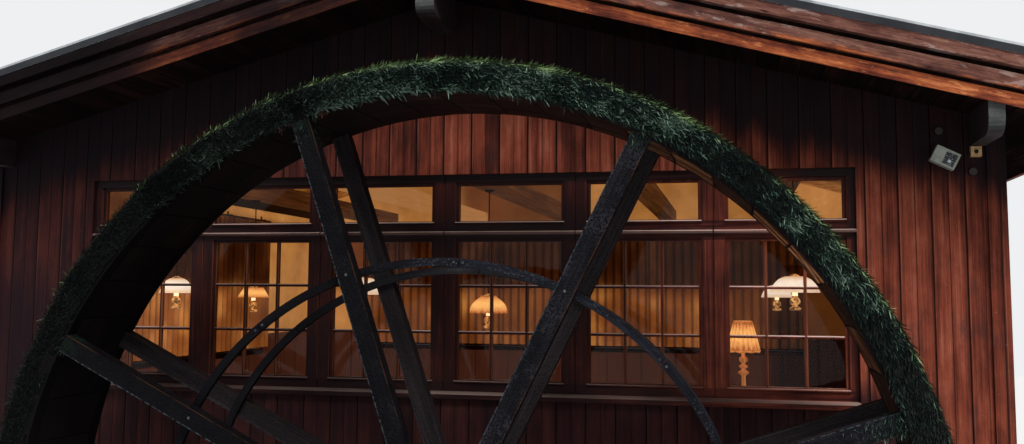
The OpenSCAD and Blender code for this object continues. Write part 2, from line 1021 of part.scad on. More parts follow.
at_house() rear_arms();
at_house() inner_rings();
at_house() front_shroud();
at_house() rear_shroud();
at_house() sole();
at_house() buckets();
at_house() rim_moss();
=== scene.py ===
"""Looks of the watermill: boards, panes, masonry, roof and the timber water wheel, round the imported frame.

Everything is in metres in the frame's own axes: X along the gable, Y into the house, Z up.
"""

import json
import math
import random

import bmesh
import bpy
import numpy as np
from mathutils import Matrix, Vector, noise
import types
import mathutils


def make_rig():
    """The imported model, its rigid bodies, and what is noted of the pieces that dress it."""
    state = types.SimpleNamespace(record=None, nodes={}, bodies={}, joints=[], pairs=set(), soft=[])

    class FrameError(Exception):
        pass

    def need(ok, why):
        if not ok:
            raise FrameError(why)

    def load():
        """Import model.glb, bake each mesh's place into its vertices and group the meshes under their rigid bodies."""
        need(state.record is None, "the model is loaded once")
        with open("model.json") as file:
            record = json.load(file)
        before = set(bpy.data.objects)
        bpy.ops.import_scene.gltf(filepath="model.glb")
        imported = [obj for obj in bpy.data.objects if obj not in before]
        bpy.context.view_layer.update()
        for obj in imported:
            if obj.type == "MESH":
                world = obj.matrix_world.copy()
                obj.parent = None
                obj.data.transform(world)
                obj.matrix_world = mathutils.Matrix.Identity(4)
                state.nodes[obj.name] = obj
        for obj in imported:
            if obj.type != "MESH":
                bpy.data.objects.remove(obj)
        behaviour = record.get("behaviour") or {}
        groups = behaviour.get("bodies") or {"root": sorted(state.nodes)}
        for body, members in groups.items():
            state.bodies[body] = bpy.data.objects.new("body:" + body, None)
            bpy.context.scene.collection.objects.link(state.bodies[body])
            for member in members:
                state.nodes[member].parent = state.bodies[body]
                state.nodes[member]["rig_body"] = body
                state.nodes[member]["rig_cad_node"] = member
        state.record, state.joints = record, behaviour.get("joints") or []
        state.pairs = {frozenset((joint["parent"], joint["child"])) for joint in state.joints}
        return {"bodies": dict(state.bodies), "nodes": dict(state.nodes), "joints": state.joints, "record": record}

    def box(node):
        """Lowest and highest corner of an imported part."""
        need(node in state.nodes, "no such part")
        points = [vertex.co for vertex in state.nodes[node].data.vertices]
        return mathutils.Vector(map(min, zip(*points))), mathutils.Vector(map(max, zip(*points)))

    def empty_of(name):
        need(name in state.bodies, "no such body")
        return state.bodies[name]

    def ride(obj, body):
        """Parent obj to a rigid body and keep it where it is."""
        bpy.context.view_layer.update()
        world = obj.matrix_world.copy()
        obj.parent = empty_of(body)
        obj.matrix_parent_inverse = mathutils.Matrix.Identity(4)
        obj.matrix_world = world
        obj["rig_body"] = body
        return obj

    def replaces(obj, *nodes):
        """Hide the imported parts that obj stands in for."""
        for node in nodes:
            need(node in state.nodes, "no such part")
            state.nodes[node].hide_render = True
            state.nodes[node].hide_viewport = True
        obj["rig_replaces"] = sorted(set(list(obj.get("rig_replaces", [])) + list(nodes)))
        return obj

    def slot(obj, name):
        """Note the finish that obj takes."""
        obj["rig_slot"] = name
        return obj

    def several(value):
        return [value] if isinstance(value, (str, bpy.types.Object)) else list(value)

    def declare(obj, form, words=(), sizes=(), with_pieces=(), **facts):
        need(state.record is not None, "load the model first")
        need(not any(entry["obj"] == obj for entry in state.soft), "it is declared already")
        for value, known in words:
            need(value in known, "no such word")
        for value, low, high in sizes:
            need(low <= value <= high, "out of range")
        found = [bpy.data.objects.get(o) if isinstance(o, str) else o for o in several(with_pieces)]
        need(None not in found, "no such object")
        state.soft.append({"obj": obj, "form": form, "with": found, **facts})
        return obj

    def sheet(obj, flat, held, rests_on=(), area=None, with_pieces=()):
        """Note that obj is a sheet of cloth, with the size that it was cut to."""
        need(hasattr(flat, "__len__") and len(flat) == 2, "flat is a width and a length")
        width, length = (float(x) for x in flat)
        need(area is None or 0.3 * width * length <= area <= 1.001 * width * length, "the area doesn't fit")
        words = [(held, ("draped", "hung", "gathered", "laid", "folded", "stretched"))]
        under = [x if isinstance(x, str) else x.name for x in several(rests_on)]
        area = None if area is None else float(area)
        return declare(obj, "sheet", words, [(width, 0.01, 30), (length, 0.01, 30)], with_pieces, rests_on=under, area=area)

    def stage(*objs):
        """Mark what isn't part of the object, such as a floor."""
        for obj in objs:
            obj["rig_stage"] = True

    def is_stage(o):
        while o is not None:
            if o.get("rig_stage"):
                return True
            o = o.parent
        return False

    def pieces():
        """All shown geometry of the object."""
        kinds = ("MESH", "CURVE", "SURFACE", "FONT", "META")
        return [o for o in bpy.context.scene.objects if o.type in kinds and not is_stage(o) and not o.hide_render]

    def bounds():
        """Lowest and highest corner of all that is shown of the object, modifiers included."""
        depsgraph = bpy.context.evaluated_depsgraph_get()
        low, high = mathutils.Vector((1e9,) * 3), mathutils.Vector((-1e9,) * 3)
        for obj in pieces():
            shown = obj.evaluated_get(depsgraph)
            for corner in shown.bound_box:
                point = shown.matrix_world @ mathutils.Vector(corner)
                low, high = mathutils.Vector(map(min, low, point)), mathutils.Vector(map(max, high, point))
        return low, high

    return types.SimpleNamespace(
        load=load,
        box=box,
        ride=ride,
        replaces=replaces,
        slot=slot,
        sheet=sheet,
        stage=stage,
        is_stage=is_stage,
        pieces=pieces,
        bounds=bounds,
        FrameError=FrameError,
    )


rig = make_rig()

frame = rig.load()
cad_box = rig.bounds()

# Places and sizes read from the frame

WALL_LO, WALL_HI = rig.box("front_wall")
FRONT, BACK = WALL_LO.y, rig.box("rear_wall")[1].y
HALF_W = WALL_HI.x
WALL_T = WALL_HI.y - WALL_LO.y
WALL_Z = WALL_LO.z
MID_Y, HALF_D = (FRONT + BACK) / 2, (BACK - FRONT) / 2
FLOOR_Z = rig.box("floor_deck")[1].z
BASE_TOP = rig.box("base_front")[1].z
RIDGE_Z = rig.box("verge_flashing")[1].z
HUB = Vector(frame["joints"][0]["pos_m"])
RIM_LO, RIM_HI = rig.box("front_shroud")
RIM_FRONT, RIM_REAR = RIM_LO.y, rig.box("rear_shroud")[1].y
RIM_OUT = RIM_HI.z - HUB.z
SHROUD_T = RIM_HI.y - RIM_LO.y
SOLE_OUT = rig.box("sole")[1].z - HUB.z
MOSS_LO, MOSS_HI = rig.box("rim_moss")
MOSS_FRONT, MOSS_BACK = MOSS_LO.y, MOSS_HI.y
MOSS_OUT = MOSS_HI.z - HUB.z

# Sizes that the source also names

SLOPE = math.tan(math.radians(15.2))
EAVES_Z = 6.70
BOARD_W, BOARD_FIRST = 0.2175, -0.006
CORNER_BOARD_W = 0.13
UNIT_W, GABLE_UNITS, SIDE_UNITS = 1.0, 6, 3
GLASS_W, LOW_GLASS = 0.785, (4.396, 5.424)
BAR_W, BAR_ACROSS, BAR_HEIGHTS = 0.022, (-0.14, 0.13), (4.744, 5.0905)
SASH_Y = 0.05
ARM_COUNT = 8
ARM_STEP, ARM_TURN = math.tau / ARM_COUNT, math.radians(-18.7)
ARM_W, ARM_END = 0.122, 3.05
SHROUD_IN = 2.925
BUCKET_COUNT = 60

# Heights of what lies in the window strips, the panelling over the floor, and the depth of the front face
SILL_TOP, PANE_TOP, HEAD_Z = 4.38, 5.86, 5.87
RAIL = (5.43, 5.57)
LEDGE, LEDGE_EDGE = (5.475, 5.525), 5.4965
WAINSCOT_H = 1.05
SKIN = 0.05

# Sizes of what this script adds

# Grooves between boards and midway on them: place in parts of a board, width and depth
GROOVES_CUT = ((0.0, 0.011, 0.008), (0.5, 0.006, 0.003))
DECK_BOARD_W = 0.145
STONE_GAP, MORTAR_BACK = 0.009, 0.02
SEAM_PITCH, SEAM_W, SEAM_H = 0.53, 0.010, 0.024
DOOR_LEAF, DOOR_STEP, DOOR_BOARDS = (0.84, 2.02), 0.030, 7
CURTAIN_LAP = 0.022
SOLE_ROWS, SOLE_GAP = 4, 0.004
RING_W, RING_T, RING_MID = 0.052, 0.040, 1.860
RING_FRONT_OUT, RING_REAR_OUT = 1.875, 1.835
RING_OVAL, RING_OVAL_TURN, RING_GAP = 0.060, math.radians(5), math.radians(0.10)
BED_STEPS = 720
FLOOR_REACH = 60
RAY_KINDS = ("Camera", "Glossy", "Transmission")
FORWARD = Vector((0, -1, 0))

# Planks of the sole with painted light from the room on them, counted round from the top, and how strongly lit they
# are
LIT_PLANKS = {3: 0.12, 4: 0.50, 5: 0.58, 6: 0.18, 7: 0.80, 8: 1.0, 9: 0.12, 10: 0.45, 11: 0.16}
# Arcs of the rim, in degrees from up, where dry strands hang
DRY_TUFTS = ((-22.3, -20.0), (-16.8, -14.8), (141.0, 144.0))
# Tufts of moss that stand out: where, in degrees from up, and how wide
MOSS_TUFTS = ((-42.0, 1.1), (46.3, 2.3))
# Arms on which moss creeps inwards: how far, and how thickly
ARM_MOSS = {0: (0.26, 0.9), 1: (0.12, 1.0), 2: (0.46, 1.25), 3: (0.30, 1.0)}

# Places on the front wall as (X, Z)
LAMP_AT, LAMP_TILT = (3.547, 5.970), 27
SENSOR_AT = (3.763, 6.020)

# X and distance from the front, rim height, rim radius and height of each hanging lamp's shade
HANGING_LAMPS = ((-2.635, 0.741, 5.026, 0.141, 0.123, "dome"), (-2.610, 2.170, 4.976, 0.158, 0.102, "cone"),
                 (-1.270, 1.707, 5.021, 0.195, 0.150, "dome"), (0.0, 1.465, 4.868, 0.166, 0.147, "bell"),
                 (2.600, 0.838, 5.062, 0.188, 0.121, "dome"), (2.566, 3.685, 5.013, 0.158, 0.121, "dome"))
# X and distance from the front, rim height over the floor, height, lower and upper radius of its shade
STANDING_LAMP = (2.205, 1.600, 1.111, 0.249, 0.140, 0.075)
# Where along X the lamps light the beams and the ceiling most
BEAM_LAMP_X = -1.45

# Profiles of the lamps as (radius, height); the shades are parts of their own radius and height
SHADES = {
    "dome": [(1, 0), (0.99, 0.08), (0.88, 0.42), (0.68, 0.78), (0.46, 0.96), (0.36, 1)],
    "bell": [(1, 0), (0.97, 0.25), (0.86, 0.5), (0.66, 0.72), (0.47, 0.88), (0.4, 1)],
    "cone": [(1, 0), (0.8, 0.5), (0.6, 1)]}
OIL_HOLDER = [(0.002, -0.142), (0.030, -0.142), (0.045, -0.132), (0.042, -0.124), (0.022, -0.112),
              (0.020, -0.102), (0.036, -0.090), (0.041, -0.072), (0.034, -0.052), (0.024, -0.042),
              (0.024, -0.030)]
TURNED_POST = [(0.150, 0), (0.150, 0.018), (0.062, 0.046), (0.030, 0.084), (0.020, 0.200), (0.022, 0.560),
               (0.018, 0.880), (0.022, 0.905), (0.044, 0.922), (0.044, 0.936), (0.020, 0.950), (0.020, 0.962),
               (0.036, 0.974), (0.036, 0.986), (0.018, 0.998), (0.018, 1.010), (0.032, 1.022), (0.036, 1.040),
               (0.030, 1.058), (0.016, 1.072), (0.012, 1.350)]
LAMP_FINISHES = ("opal", "pleats", "chimney", "brass", "lamp_wood", "lamp_rod")

# The photo's camera, fitted to it in the frame's axes
CAMERA_AT = (2.1629, -10.0954, 5.05)
CAMERA_RIGHT = (0.97745145, 0.21106761, 0.00625583)
CAMERA_UP = (0.01384535, -0.09362357, 0.99551139)
CAMERA_AHEAD = (-0.2107059, 0.97297744, 0.0944348)
FRAME_W, FRAME_H = 1024, 444
FOCAL_PX, CENTRE_PX = 1030.947, (513.75, 194.03)

SEED = 7


class Nodes:
    """A node tree with one method that adds any node."""

    def __init__(self, tree):
        self.tree = tree

    def node(self, kind, settings=None, sockets=None, output=0):
        """Adds a node, its settings first, then the values or links of its sockets."""
        made = self.tree.nodes.new(kind)
        for key, value in (settings or {}).items():
            if key == "stops":
                self.set_stops(made.color_ramp, value)
            else:
                setattr(made, key, value)
        for key, value in (sockets or {}).items():
            self.feed(made.inputs[key], value)
        return Value(self, made.outputs[output])

    def feed(self, socket, value):
        if isinstance(value, Value):
            self.tree.links.new(value.socket, socket)
        else:
            socket.default_value = value

    def set_stops(self, ramp, stops):
        while len(ramp.elements) < len(stops):
            ramp.elements.new(0.5)
        for element, (place, colour) in zip(ramp.elements, stops):
            element.position = place
            element.color = (*colour, 1)

    def math(self, operation, *values, clamp=False):
        settings = {"operation": operation, "use_clamp": clamp}
        return self.node("ShaderNodeMath", settings, dict(enumerate(values)))


def operation(name, swapped=False):
    """A method that adds one Math node, with its inputs the other way round where it is swapped."""
    def method(self, other):
        return self.nodes.math(name, *((other, self) if swapped else (self, other)))
    return method


class Value:
    """A node's output, on which arithmetic adds Math nodes."""

    def __init__(self, nodes, socket):
        self.nodes = nodes
        self.socket = socket

    def __abs__(self):
        return self.nodes.math("ABSOLUTE", self)

    def __round__(self):
        return self.nodes.math("ROUND", self)

    __add__ = __radd__ = operation("ADD")
    __mul__ = __rmul__ = operation("MULTIPLY")
    __sub__ = operation("SUBTRACT")
    __rsub__ = operation("SUBTRACT", swapped=True)
    __truediv__ = operation("DIVIDE")
    __rtruediv__ = operation("DIVIDE", swapped=True)
    __gt__ = operation("GREATER_THAN")
    __lt__ = operation("LESS_THAN")


class Finish(Nodes):
    """A material made from procedural patterns on the object's own coordinates."""

    def __init__(self, name, **fixed):
        self.material = bpy.data.materials.new(name)
        self.material.use_nodes = True
        super().__init__(self.material.node_tree)
        self.surface = self.tree.nodes["Principled BSDF"]
        for key, value in fixed.items():
            self.surface.inputs[key.replace("_", " ")].default_value = value
        self.place = self.node("ShaderNodeTexCoord", output="Object")
        self.x, self.y, self.z = (self.axis(name) for name in "XYZ")

    def axis(self, name, vector=None):
        return self.node("ShaderNodeSeparateXYZ", sockets={0: vector or self.place}, output=name)

    def facing(self, name):
        """How far the surface faces along one axis, from -1 to 1."""
        return self.axis(name, self.node("ShaderNodeTexCoord", output="Normal"))

    def vector(self, x, y, z):
        return self.node("ShaderNodeCombineXYZ", sockets={0: x, 1: y, 2: z})

    def most(self, first, second):
        return self.math("MAXIMUM", first, second)

    def least(self, first, second):
        return self.math("MINIMUM", first, second)

    def floor(self, value):
        return self.math("FLOOR", value)

    def fraction(self, value):
        return self.math("FRACT", value)

    def noise(self, vector, scale=1.0, detail=3.0, roughness=0.5):
        sockets = {"Vector": vector, "Scale": scale, "Detail": detail, "Roughness": roughness}
        return self.node("ShaderNodeTexNoise", sockets=sockets)

    def streaks(self, x, y, z, detail=3.0, roughness=0.5):
        """Noise drawn out by its own scale along each axis."""
        return self.noise(self.vector(x, y, z), 1, detail, roughness)

    def cells(self, vector, scale=1.0, randomness=1.0):
        sockets = {"Vector": vector, "Scale": scale, "Randomness": randomness}
        return self.node("ShaderNodeTexVoronoi", sockets=sockets, output="Distance")

    def random(self, value):
        """A steady random number for each whole value."""
        return self.node("ShaderNodeTexWhiteNoise", {"noise_dimensions": "1D"}, {"W": value}, "Value")

    def attribute(self, name):
        return self.node("ShaderNodeAttribute", {"attribute_name": name}, output="Fac")

    def ramp(self, value, *stops):
        return self.node("ShaderNodeValToRGB", {"stops": stops}, {0: value})

    def fade(self, value, low, high):
        """0 below low and 1 above high, smooth between them. Low may be above high."""
        sockets = {"Value": value, "From Min": low, "From Max": high}
        return self.node("ShaderNodeMapRange", {"interpolation_type": "SMOOTHSTEP"}, sockets)

    def mix(self, factor, first, second):
        settings = {"data_type": "RGBA", "clamp_factor": True}
        colours = [c if isinstance(c, Value) else (*c, 1) for c in (first, second)]
        return self.node("ShaderNodeMix", settings, {0: factor, 6: colours[0], 7: colours[1]}, 2)

    def layers(self, colour, *layers):
        """A colour under layers, each given as how much of it shows and its own colour."""
        for amount, over in layers:
            colour = self.mix(amount, colour, over)
        return colour

    def bump(self, height, distance, strength=1.0):
        sockets = {"Strength": strength, "Distance": distance, "Height": height}
        return self.node("ShaderNodeBump", sockets=sockets)

    def paint(self, colour=None, **sockets):
        """Links the patterns to the surface and returns the material."""
        if colour is not None:
            sockets["Base_Color"] = colour
        for key, value in sockets.items():
            self.feed(self.surface.inputs[key.replace("_", " ")], value)
        return self.material


# Finishes of the house

STAIN_DARK = (0.028, 0.0085, 0.0075)
STAIN_MID = (0.098, 0.0220, 0.0135)
STAIN_WARM = (0.206, 0.0470, 0.0262)
STAIN_PALE = (0.325, 0.112, 0.071)
STAIN_BLUE = (0.052, 0.024, 0.023)
STAIN_CHIPPED = (0.34, 0.19, 0.15)
# Painted shade on the boards, then the painted shadow of the eaves
PAINTED_SHADE_DARK = (0.0078, 0.0045, 0.0074)
EAVES_SHADOW_DARK = (0.0066, 0.0045, 0.0068)
JOINT_DARK = (0.012, 0.005, 0.005)
LINING = (0.64, 0.29, 0.078)
WAINSCOT = (0.082, 0.025, 0.012)
BLACK = (0, 0, 0)
TIMBER_GLOSS = 0.05


def inside_room(f):
    """1 on faces turned to the room, 0 outside."""
    half = WALL_T / 2
    across = (f.x > half - HALF_W) * (f.x < HALF_W - half)
    return across * (f.y > FRONT + half) * (f.y < BACK - half)


def lamp_light(f):
    """How much of the lamps' light reaches a place: most near them, little in the shades' shadow above."""
    x, y, z = f.x, f.y, f.z
    spots = [(lamp[0], lamp[1], lamp[2] - 0.1) for lamp in HANGING_LAMPS]
    spots.append((STANDING_LAMP[0], STANDING_LAMP[1], FLOOR_Z + STANDING_LAMP[2]))
    near = 0.0
    for at_x, at_y, at_z in spots:
        dx, dy, dz = x - at_x, y - (at_y + FRONT), z - at_z
        near = 0.26 / (dx * dx + dy * dy + dz * dz + 0.16) + near
    under, over = f.fade(z, 5.22, 4.96), f.fade(z, PANE_TOP, 6.02)
    beside = (x < 0.19 - HALF_W) * f.fade(z, 6.0, 5.6)
    reached = f.most(f.most(under, over), beside)
    uneven = f.noise(f.place, 0.9, 2, 0.5)
    low_right = f.fade(x, 2.30, 2.75) * (z < 5.42) * 0.93
    high_left = (x < -3.5) * (z > 5.45) * (y < 0.8) * 0.85
    high_middle = f.fade(abs(x + 0.80), 1.00, 0.62) * (z > PANE_TOP) * 0.86
    dusk = f.most(f.most(low_right, high_left), high_middle)
    return (reached * (0.42 + uneven * 0.8) + 0.085) * (near + 0.46) * (1 - dusk)


def painted_wall_shade(f):
    """Painted shade on the boards: the eaves' shadow, the shade low on the wall round the wheel, and the shade over
    the left side and behind the top of the rim.
    """
    x, y, z = f.x, f.y, f.z
    gable = abs(y - MID_Y) > HALF_D - SKIN
    under = roof_drop(f) * gable + (EAVES_Z - z) * (1 - gable)
    ragged = f.streaks(x * 6, y * 6, z * 0.5, 4, 0.65) * 0.42 - 0.21
    front = y < FRONT + SKIN
    west_shade = f.fade(x, 1.0, -2.2) * front
    # Painted shadow of the eaves, with a ragged edge.
    eaves_shadow = f.fade(under + ragged + west_shade * 0.05, 1.04, 0.76)
    # Painted shade low on the front wall round the wheel, under the sills.
    shade_and_highlight_band = f.fade(z + ragged, 4.50, 4.30) * f.fade(abs(x - HUB.x), 3.35, 2.95) * front
    # Painted shade high on the boards left of the middle, behind the top of the rim.
    shade_behind_rim = f.fade(x, -0.35, -1.15) * (z > 5.93) * 0.80
    return eaves_shadow, shade_and_highlight_band, f.most(f.fade(x, -0.9, -2.9), shade_behind_rim) * front


def board_stain(f, across, first):
    """Colour and height of upright stained boards, laid side by side along one axis, with painted shade and painted
    highlights.
    """
    height = f.z
    count = (across - first) / BOARD_W
    index, local, strip = f.floor(count), f.fraction(count), f.floor(count * 2)
    grain = f.streaks(across * 40, index * 3.7, height * 1.1, 5, 0.62)
    fibre = f.streaks(across * 210, index * 5.1, height * 2.6, 3, 0.6)
    runs = f.streaks(across * 12, strip * 2.3, height * 0.35, 3, 0.55)
    blotch = f.streaks(across * 4.4, index * 0.7, height * 2.0, 5, 0.66)
    stained = f.streaks(across * 6, index, height * 1.8, 4, 0.65)
    worn = f.streaks(index * 3.1, 0.0, height * 1.7, 3, 0.6)
    knots = f.cells(f.vector(across * 7.5, index * 1.9, height * 1.15))
    chips = f.fade(f.noise(f.place, 55, 2, 0.5), 0.72, 0.77)
    eaves_shadow, shade_and_highlight_band, west_shade = painted_wall_shade(f)
    mixed = grain * 0.35 + fibre * 0.22 + runs * 0.20 + blotch * 0.38 - 0.079
    mixed = mixed + f.random(index) * 0.055 + f.random(strip + 0.5) * 0.085 - eaves_shadow * 0.06 - west_shade * 0.04
    # Painted highlight along one edge of each board, in patches.
    lip = f.fade(local, 0.022, 0.034) * f.fade(local, 0.075, 0.050) * f.fade(worn, 0.35, 0.60)
    off_front = (f.y > FRONT + SKIN) * 9
    # Painted shade over the lower far left of the front wall.
    corner = f.fade(f.x + off_front, -2.5, -3.4) * f.fade(height + stained * 0.8, 7.0, 5.2)
    # All painted shade: low round the wheel, on the left side and at the far left.
    painted_shade = f.most(f.most(shade_and_highlight_band * 0.86, west_shade * 0.74), corner * 0.95)
    edge = f.least(local, 1 - local)
    # Dark joints, with painted shade along one side of each.
    joint = f.fade(local, 0.84, 0.98) * 0.50 + f.fade(edge, 0.050, 0.022) * 0.45
    # The dark midway groove, with painted shade along one side of it.
    midway = f.fade(abs(local - 0.5), 0.030, 0.008) + f.fade(local, 0.40, 0.49) * (local < 0.5) * 0.25
    stain = f.ramp(mixed, (0.425, STAIN_DARK), (0.53, STAIN_MID), (0.625, STAIN_WARM), (0.75, STAIN_PALE))
    stain = f.layers(stain, (f.fade(stained, 0.54, 0.70) * 0.6, STAIN_BLUE),
                     (f.fade(knots, 0.10, 0.05) * 0.7, STAIN_DARK), (chips * 0.6, STAIN_CHIPPED),
                     (lip * 0.45, STAIN_PALE), (painted_shade, PAINTED_SHADE_DARK), (eaves_shadow * 0.93, EAVES_SHADOW_DARK),
                     (f.least(joint, 0.92), JOINT_DARK), (midway * 0.45, JOINT_DARK))
    return stain, grain * 0.7 + fibre * 0.3


def wall_finish(name, axis, first):
    """Stained boards outside, plaster over a panelled foot inside, with the room's lamp light painted on the lining as
    a glow.
    """
    f = Finish(name, Emission_Strength=1.15, Specular_IOR_Level=TIMBER_GLOSS)
    across = f.axis(axis)
    stain, height = board_stain(f, across, first)
    room = inside_room(f)
    plaster = f.ramp(f.noise(f.place, 2.2, 4, 0.6),
                     (0.30, (0.46, 0.19, 0.045)), (0.62, LINING), (0.85, (0.82, 0.50, 0.20)))
    wood = f.ramp(f.streaks(across * 20, 0.0, f.z * 1.5, 4, 0.6),
                  (0.3, (0.05, 0.014, 0.008)), (0.7, WAINSCOT))
    wood = f.mix(f.fade(f.fraction(across * 2.2), 0.94, 0.97), wood, (0.03, 0.01, 0.008))
    lining = f.mix(f.z < FLOOR_Z + WAINSCOT_H, plaster, wood)
    glow = f.mix(room * lamp_light(f), BLACK, lining)
    return f.paint(f.mix(room, stain, lining), Roughness=0.50 + f.noise(f.place, 6, 2) * 0.2,
                   Emission_Color=glow, Normal=f.bump(height, 0.004, 0.7))


def window_finish(name, axis):
    """Dark red-brown stain on posts, rails and ledges; pale upward faces, partly wear and partly painted highlight;
    painted highlights along the panes and on the rail's nosing; painted shade on the head casing; painted light
    towards the right.
    """
    f = Finish(name, Specular_IOR_Level=0.08)
    across, z = f.axis(axis), f.z
    level = (z > RAIL[0]) * (z < RAIL[1]) + (z < SILL_TOP) + (z > HEAD_Z)
    upright = f.streaks(across * 60, f.y * 9, z * 1.6, 5, 0.6)
    lying = f.streaks(across * 1.6, f.y * 9, z * 60, 5, 0.6)
    grain = f.node("ShaderNodeMix", {"data_type": "FLOAT"}, {0: level, 2: upright, 3: lying})
    broad = f.noise(f.place, 1.9, 4, 0.6)
    # Painted light: the timber lighter towards the right.
    painted_light_right = f.fade(f.x, 0.7, 2.0) * f.fade(f.x, 2.98, 2.88)
    mixed = grain * 0.50 + broad * 0.47 + painted_light_right * 0.175 - level * 0.06 - 0.055
    # Painted highlight on the faces beside the panes.
    pane_edge_highlight = f.fade(abs(f.facing(axis)), 0.50, 0.72) * (z > LOW_GLASS[0] - 0.02) * (z < PANE_TOP)
    upward = f.facing("Z")
    # Pale upward faces: partly wear, partly painted highlight, stronger higher up and, as painted light, towards the
    # right.
    tops_by_height = 0.25 + (z > 4.60) * 0.55 + (z > 5.40) * 0.20
    worn_tops_and_highlight = f.fade(upward, 0.30, 0.60) * (0.55 + broad * 0.6) * tops_by_height
    along = 0.55 + f.fade(f.x, -2.4, 1.0) * 0.85
    # Painted highlight on the rail's nosing.
    nosing = f.fade(z, LEDGE[0] - 0.005, LEDGE[0] + 0.008) * (z < LEDGE_EDGE) * f.fade(upward, 0.30, 0.10)
    unit = across + (UNIT_W / 2 if axis == "X" else UNIT_W / 2 - MID_Y)
    seam = f.fade(abs(f.fraction(unit) - 0.5), 0.007, 0.003) * (z > LEDGE[0]) * (z < LEDGE[1])
    stain = f.ramp(mixed, (0.38, (0.0125, 0.0042, 0.0050)), (0.50, (0.034, 0.0080, 0.0070)),
                   (0.61, (0.115, 0.0245, 0.0150)), (0.76, (0.27, 0.066, 0.034)))
    stain = f.layers(stain, (pane_edge_highlight * 0.60, (0.22, 0.075, 0.036)),
                     # Painted shade on the head casing over the panes.
                     (f.fade(z, PANE_TOP - 0.005, PANE_TOP + 0.025) * 0.78, (0.0062, 0.0034, 0.0042)),
                     (worn_tops_and_highlight * along, (0.60, 0.440, 0.385)),
                     (nosing * (0.1 + broad) * (along - 0.30) * 0.42, (0.46, 0.275, 0.235)),
                     (seam, (0.010, 0.004, 0.004)))
    return f.paint(stain, Roughness=0.34 + grain * 0.25, Normal=f.bump(grain, 0.003, 0.6))


def roof_drop(f):
    """How far below the roof's upper surface a place is."""
    return RIDGE_Z - f.z - abs(f.x) * SLOPE


def verge_finish():
    """Stained boards that follow the roof's slope: grey at the top, worn orange at the lower edges, with painted shade
    over the left part and a painted glint in it.
    """
    f = Finish("verge_timber", Specular_IOR_Level=0.04)
    run, drop, y = abs(f.x), roof_drop(f), f.y
    side, front = f.math("SIGN", f.x), y < MID_Y
    row = (drop > 0.17) + (drop > 0.30)
    bowed = f.streaks(run * 2.4 + side * 7, row * 3.1, 0.0, 2) * 0.05 + drop
    grain = f.streaks(run * 2.2 + side * 7, y * 24, bowed * 44, 6, 0.68)
    fibre = f.streaks(run * 9 + side * 3, y * 80, bowed * 210, 3, 0.6)
    patch = f.streaks(run * 2.6 + side * 5, y * 2 + row * 1.7, drop * 7, 5, 0.66)
    bleached = f.streaks(run * 4 + side * 2, y * 3 + row * 5.3, drop * 16, 4, 0.7)
    cloudy = f.streaks(run * 0.8 + side * 5, y, drop * 4, 3, 0.6)
    knots = f.cells(f.vector(run * 2.6 + side * 2, y, (drop + row) * 11))
    mixed = grain * 0.40 + patch * 0.54 + fibre * 0.14
    warm = f.ramp(mixed, (0.43, (0.044, 0.011, 0.009)), (0.51, (0.13, 0.030, 0.016)),
                  (0.60, (0.29, 0.076, 0.028)), (0.72, (0.54, 0.20, 0.080)))
    grey = f.ramp(mixed, (0.43, (0.036, 0.017, 0.016)), (0.52, (0.090, 0.039, 0.032)),
                  (0.61, (0.160, 0.082, 0.067)), (0.72, (0.29, 0.20, 0.18)))
    upper = 1 - f.fade(drop + (patch - 0.5) * 0.25, 0.255, 0.305)
    # Painted shade over the left part, with a painted glint on it near X = -1.8, and darker painted shade at the far
    # left.
    painted_shade = f.fade(f.x + cloudy * 2.4, 2.2, 0.6) * front
    glint = f.fade(abs(f.x + 1.80), 0.50, 0.12) * f.fade(drop, 0.15, 0.20)
    low = f.fade(f.x + cloudy * 0.5, -1.75, -2.35) * front
    bare = f.mix(upper, (0.62, 0.24, 0.09), (0.36, 0.27, 0.25))
    colour = f.layers(warm, (upper * 0.85, grey), (f.fade(bleached, 0.57, 0.66) * 0.55, bare),
                      (f.fade(bleached, 0.43, 0.36) * 0.60, (0.045, 0.020, 0.017)),
                      (f.fade(knots, 0.13, 0.06), (0.026, 0.009, 0.008)),
                      (painted_shade * (0.93 - glint * 0.27), (0.0062, 0.0036, 0.0048)),
                      (low * 0.85, (0.0024, 0.0019, 0.0028)))
    return f.paint(colour, Roughness=0.5 + patch * 0.2, Normal=f.bump(grain * 0.7 + fibre * 0.3, 0.004, 0.7))


def plain_timber_finish(name, stretch, dark, mid, pale, glow=0.0, lamp_x=None):
    """Plain sawn timber, with its grain drawn out along the axis of the smallest stretch. Where a glow is given, the
    room's lamp light is painted on it, brightest near lamp_x if that is given.
    """
    f = Finish(name, Emission_Strength=glow, Specular_IOR_Level=TIMBER_GLOSS)
    mapped = f.node("ShaderNodeMapping", sockets={"Vector": f.place, "Scale": stretch})
    grain = f.noise(mapped, 1, 5, 0.62)
    broad = f.noise(f.place, 0.9, 3)
    colour = f.ramp(grain * 0.7 + broad * 0.35, (0.36, dark), (0.54, mid), (0.74, pale))
    if lamp_x is not None:
        f.paint(Emission_Color=f.mix(f.fade(abs(f.x - lamp_x), 0.85, 0.45), colour, (1.0, 0.42, 0.13)))
    elif glow:
        f.paint(Emission_Color=colour)
    return f.paint(colour, Roughness=0.6, Normal=f.bump(grain, 0.003, 0.6))


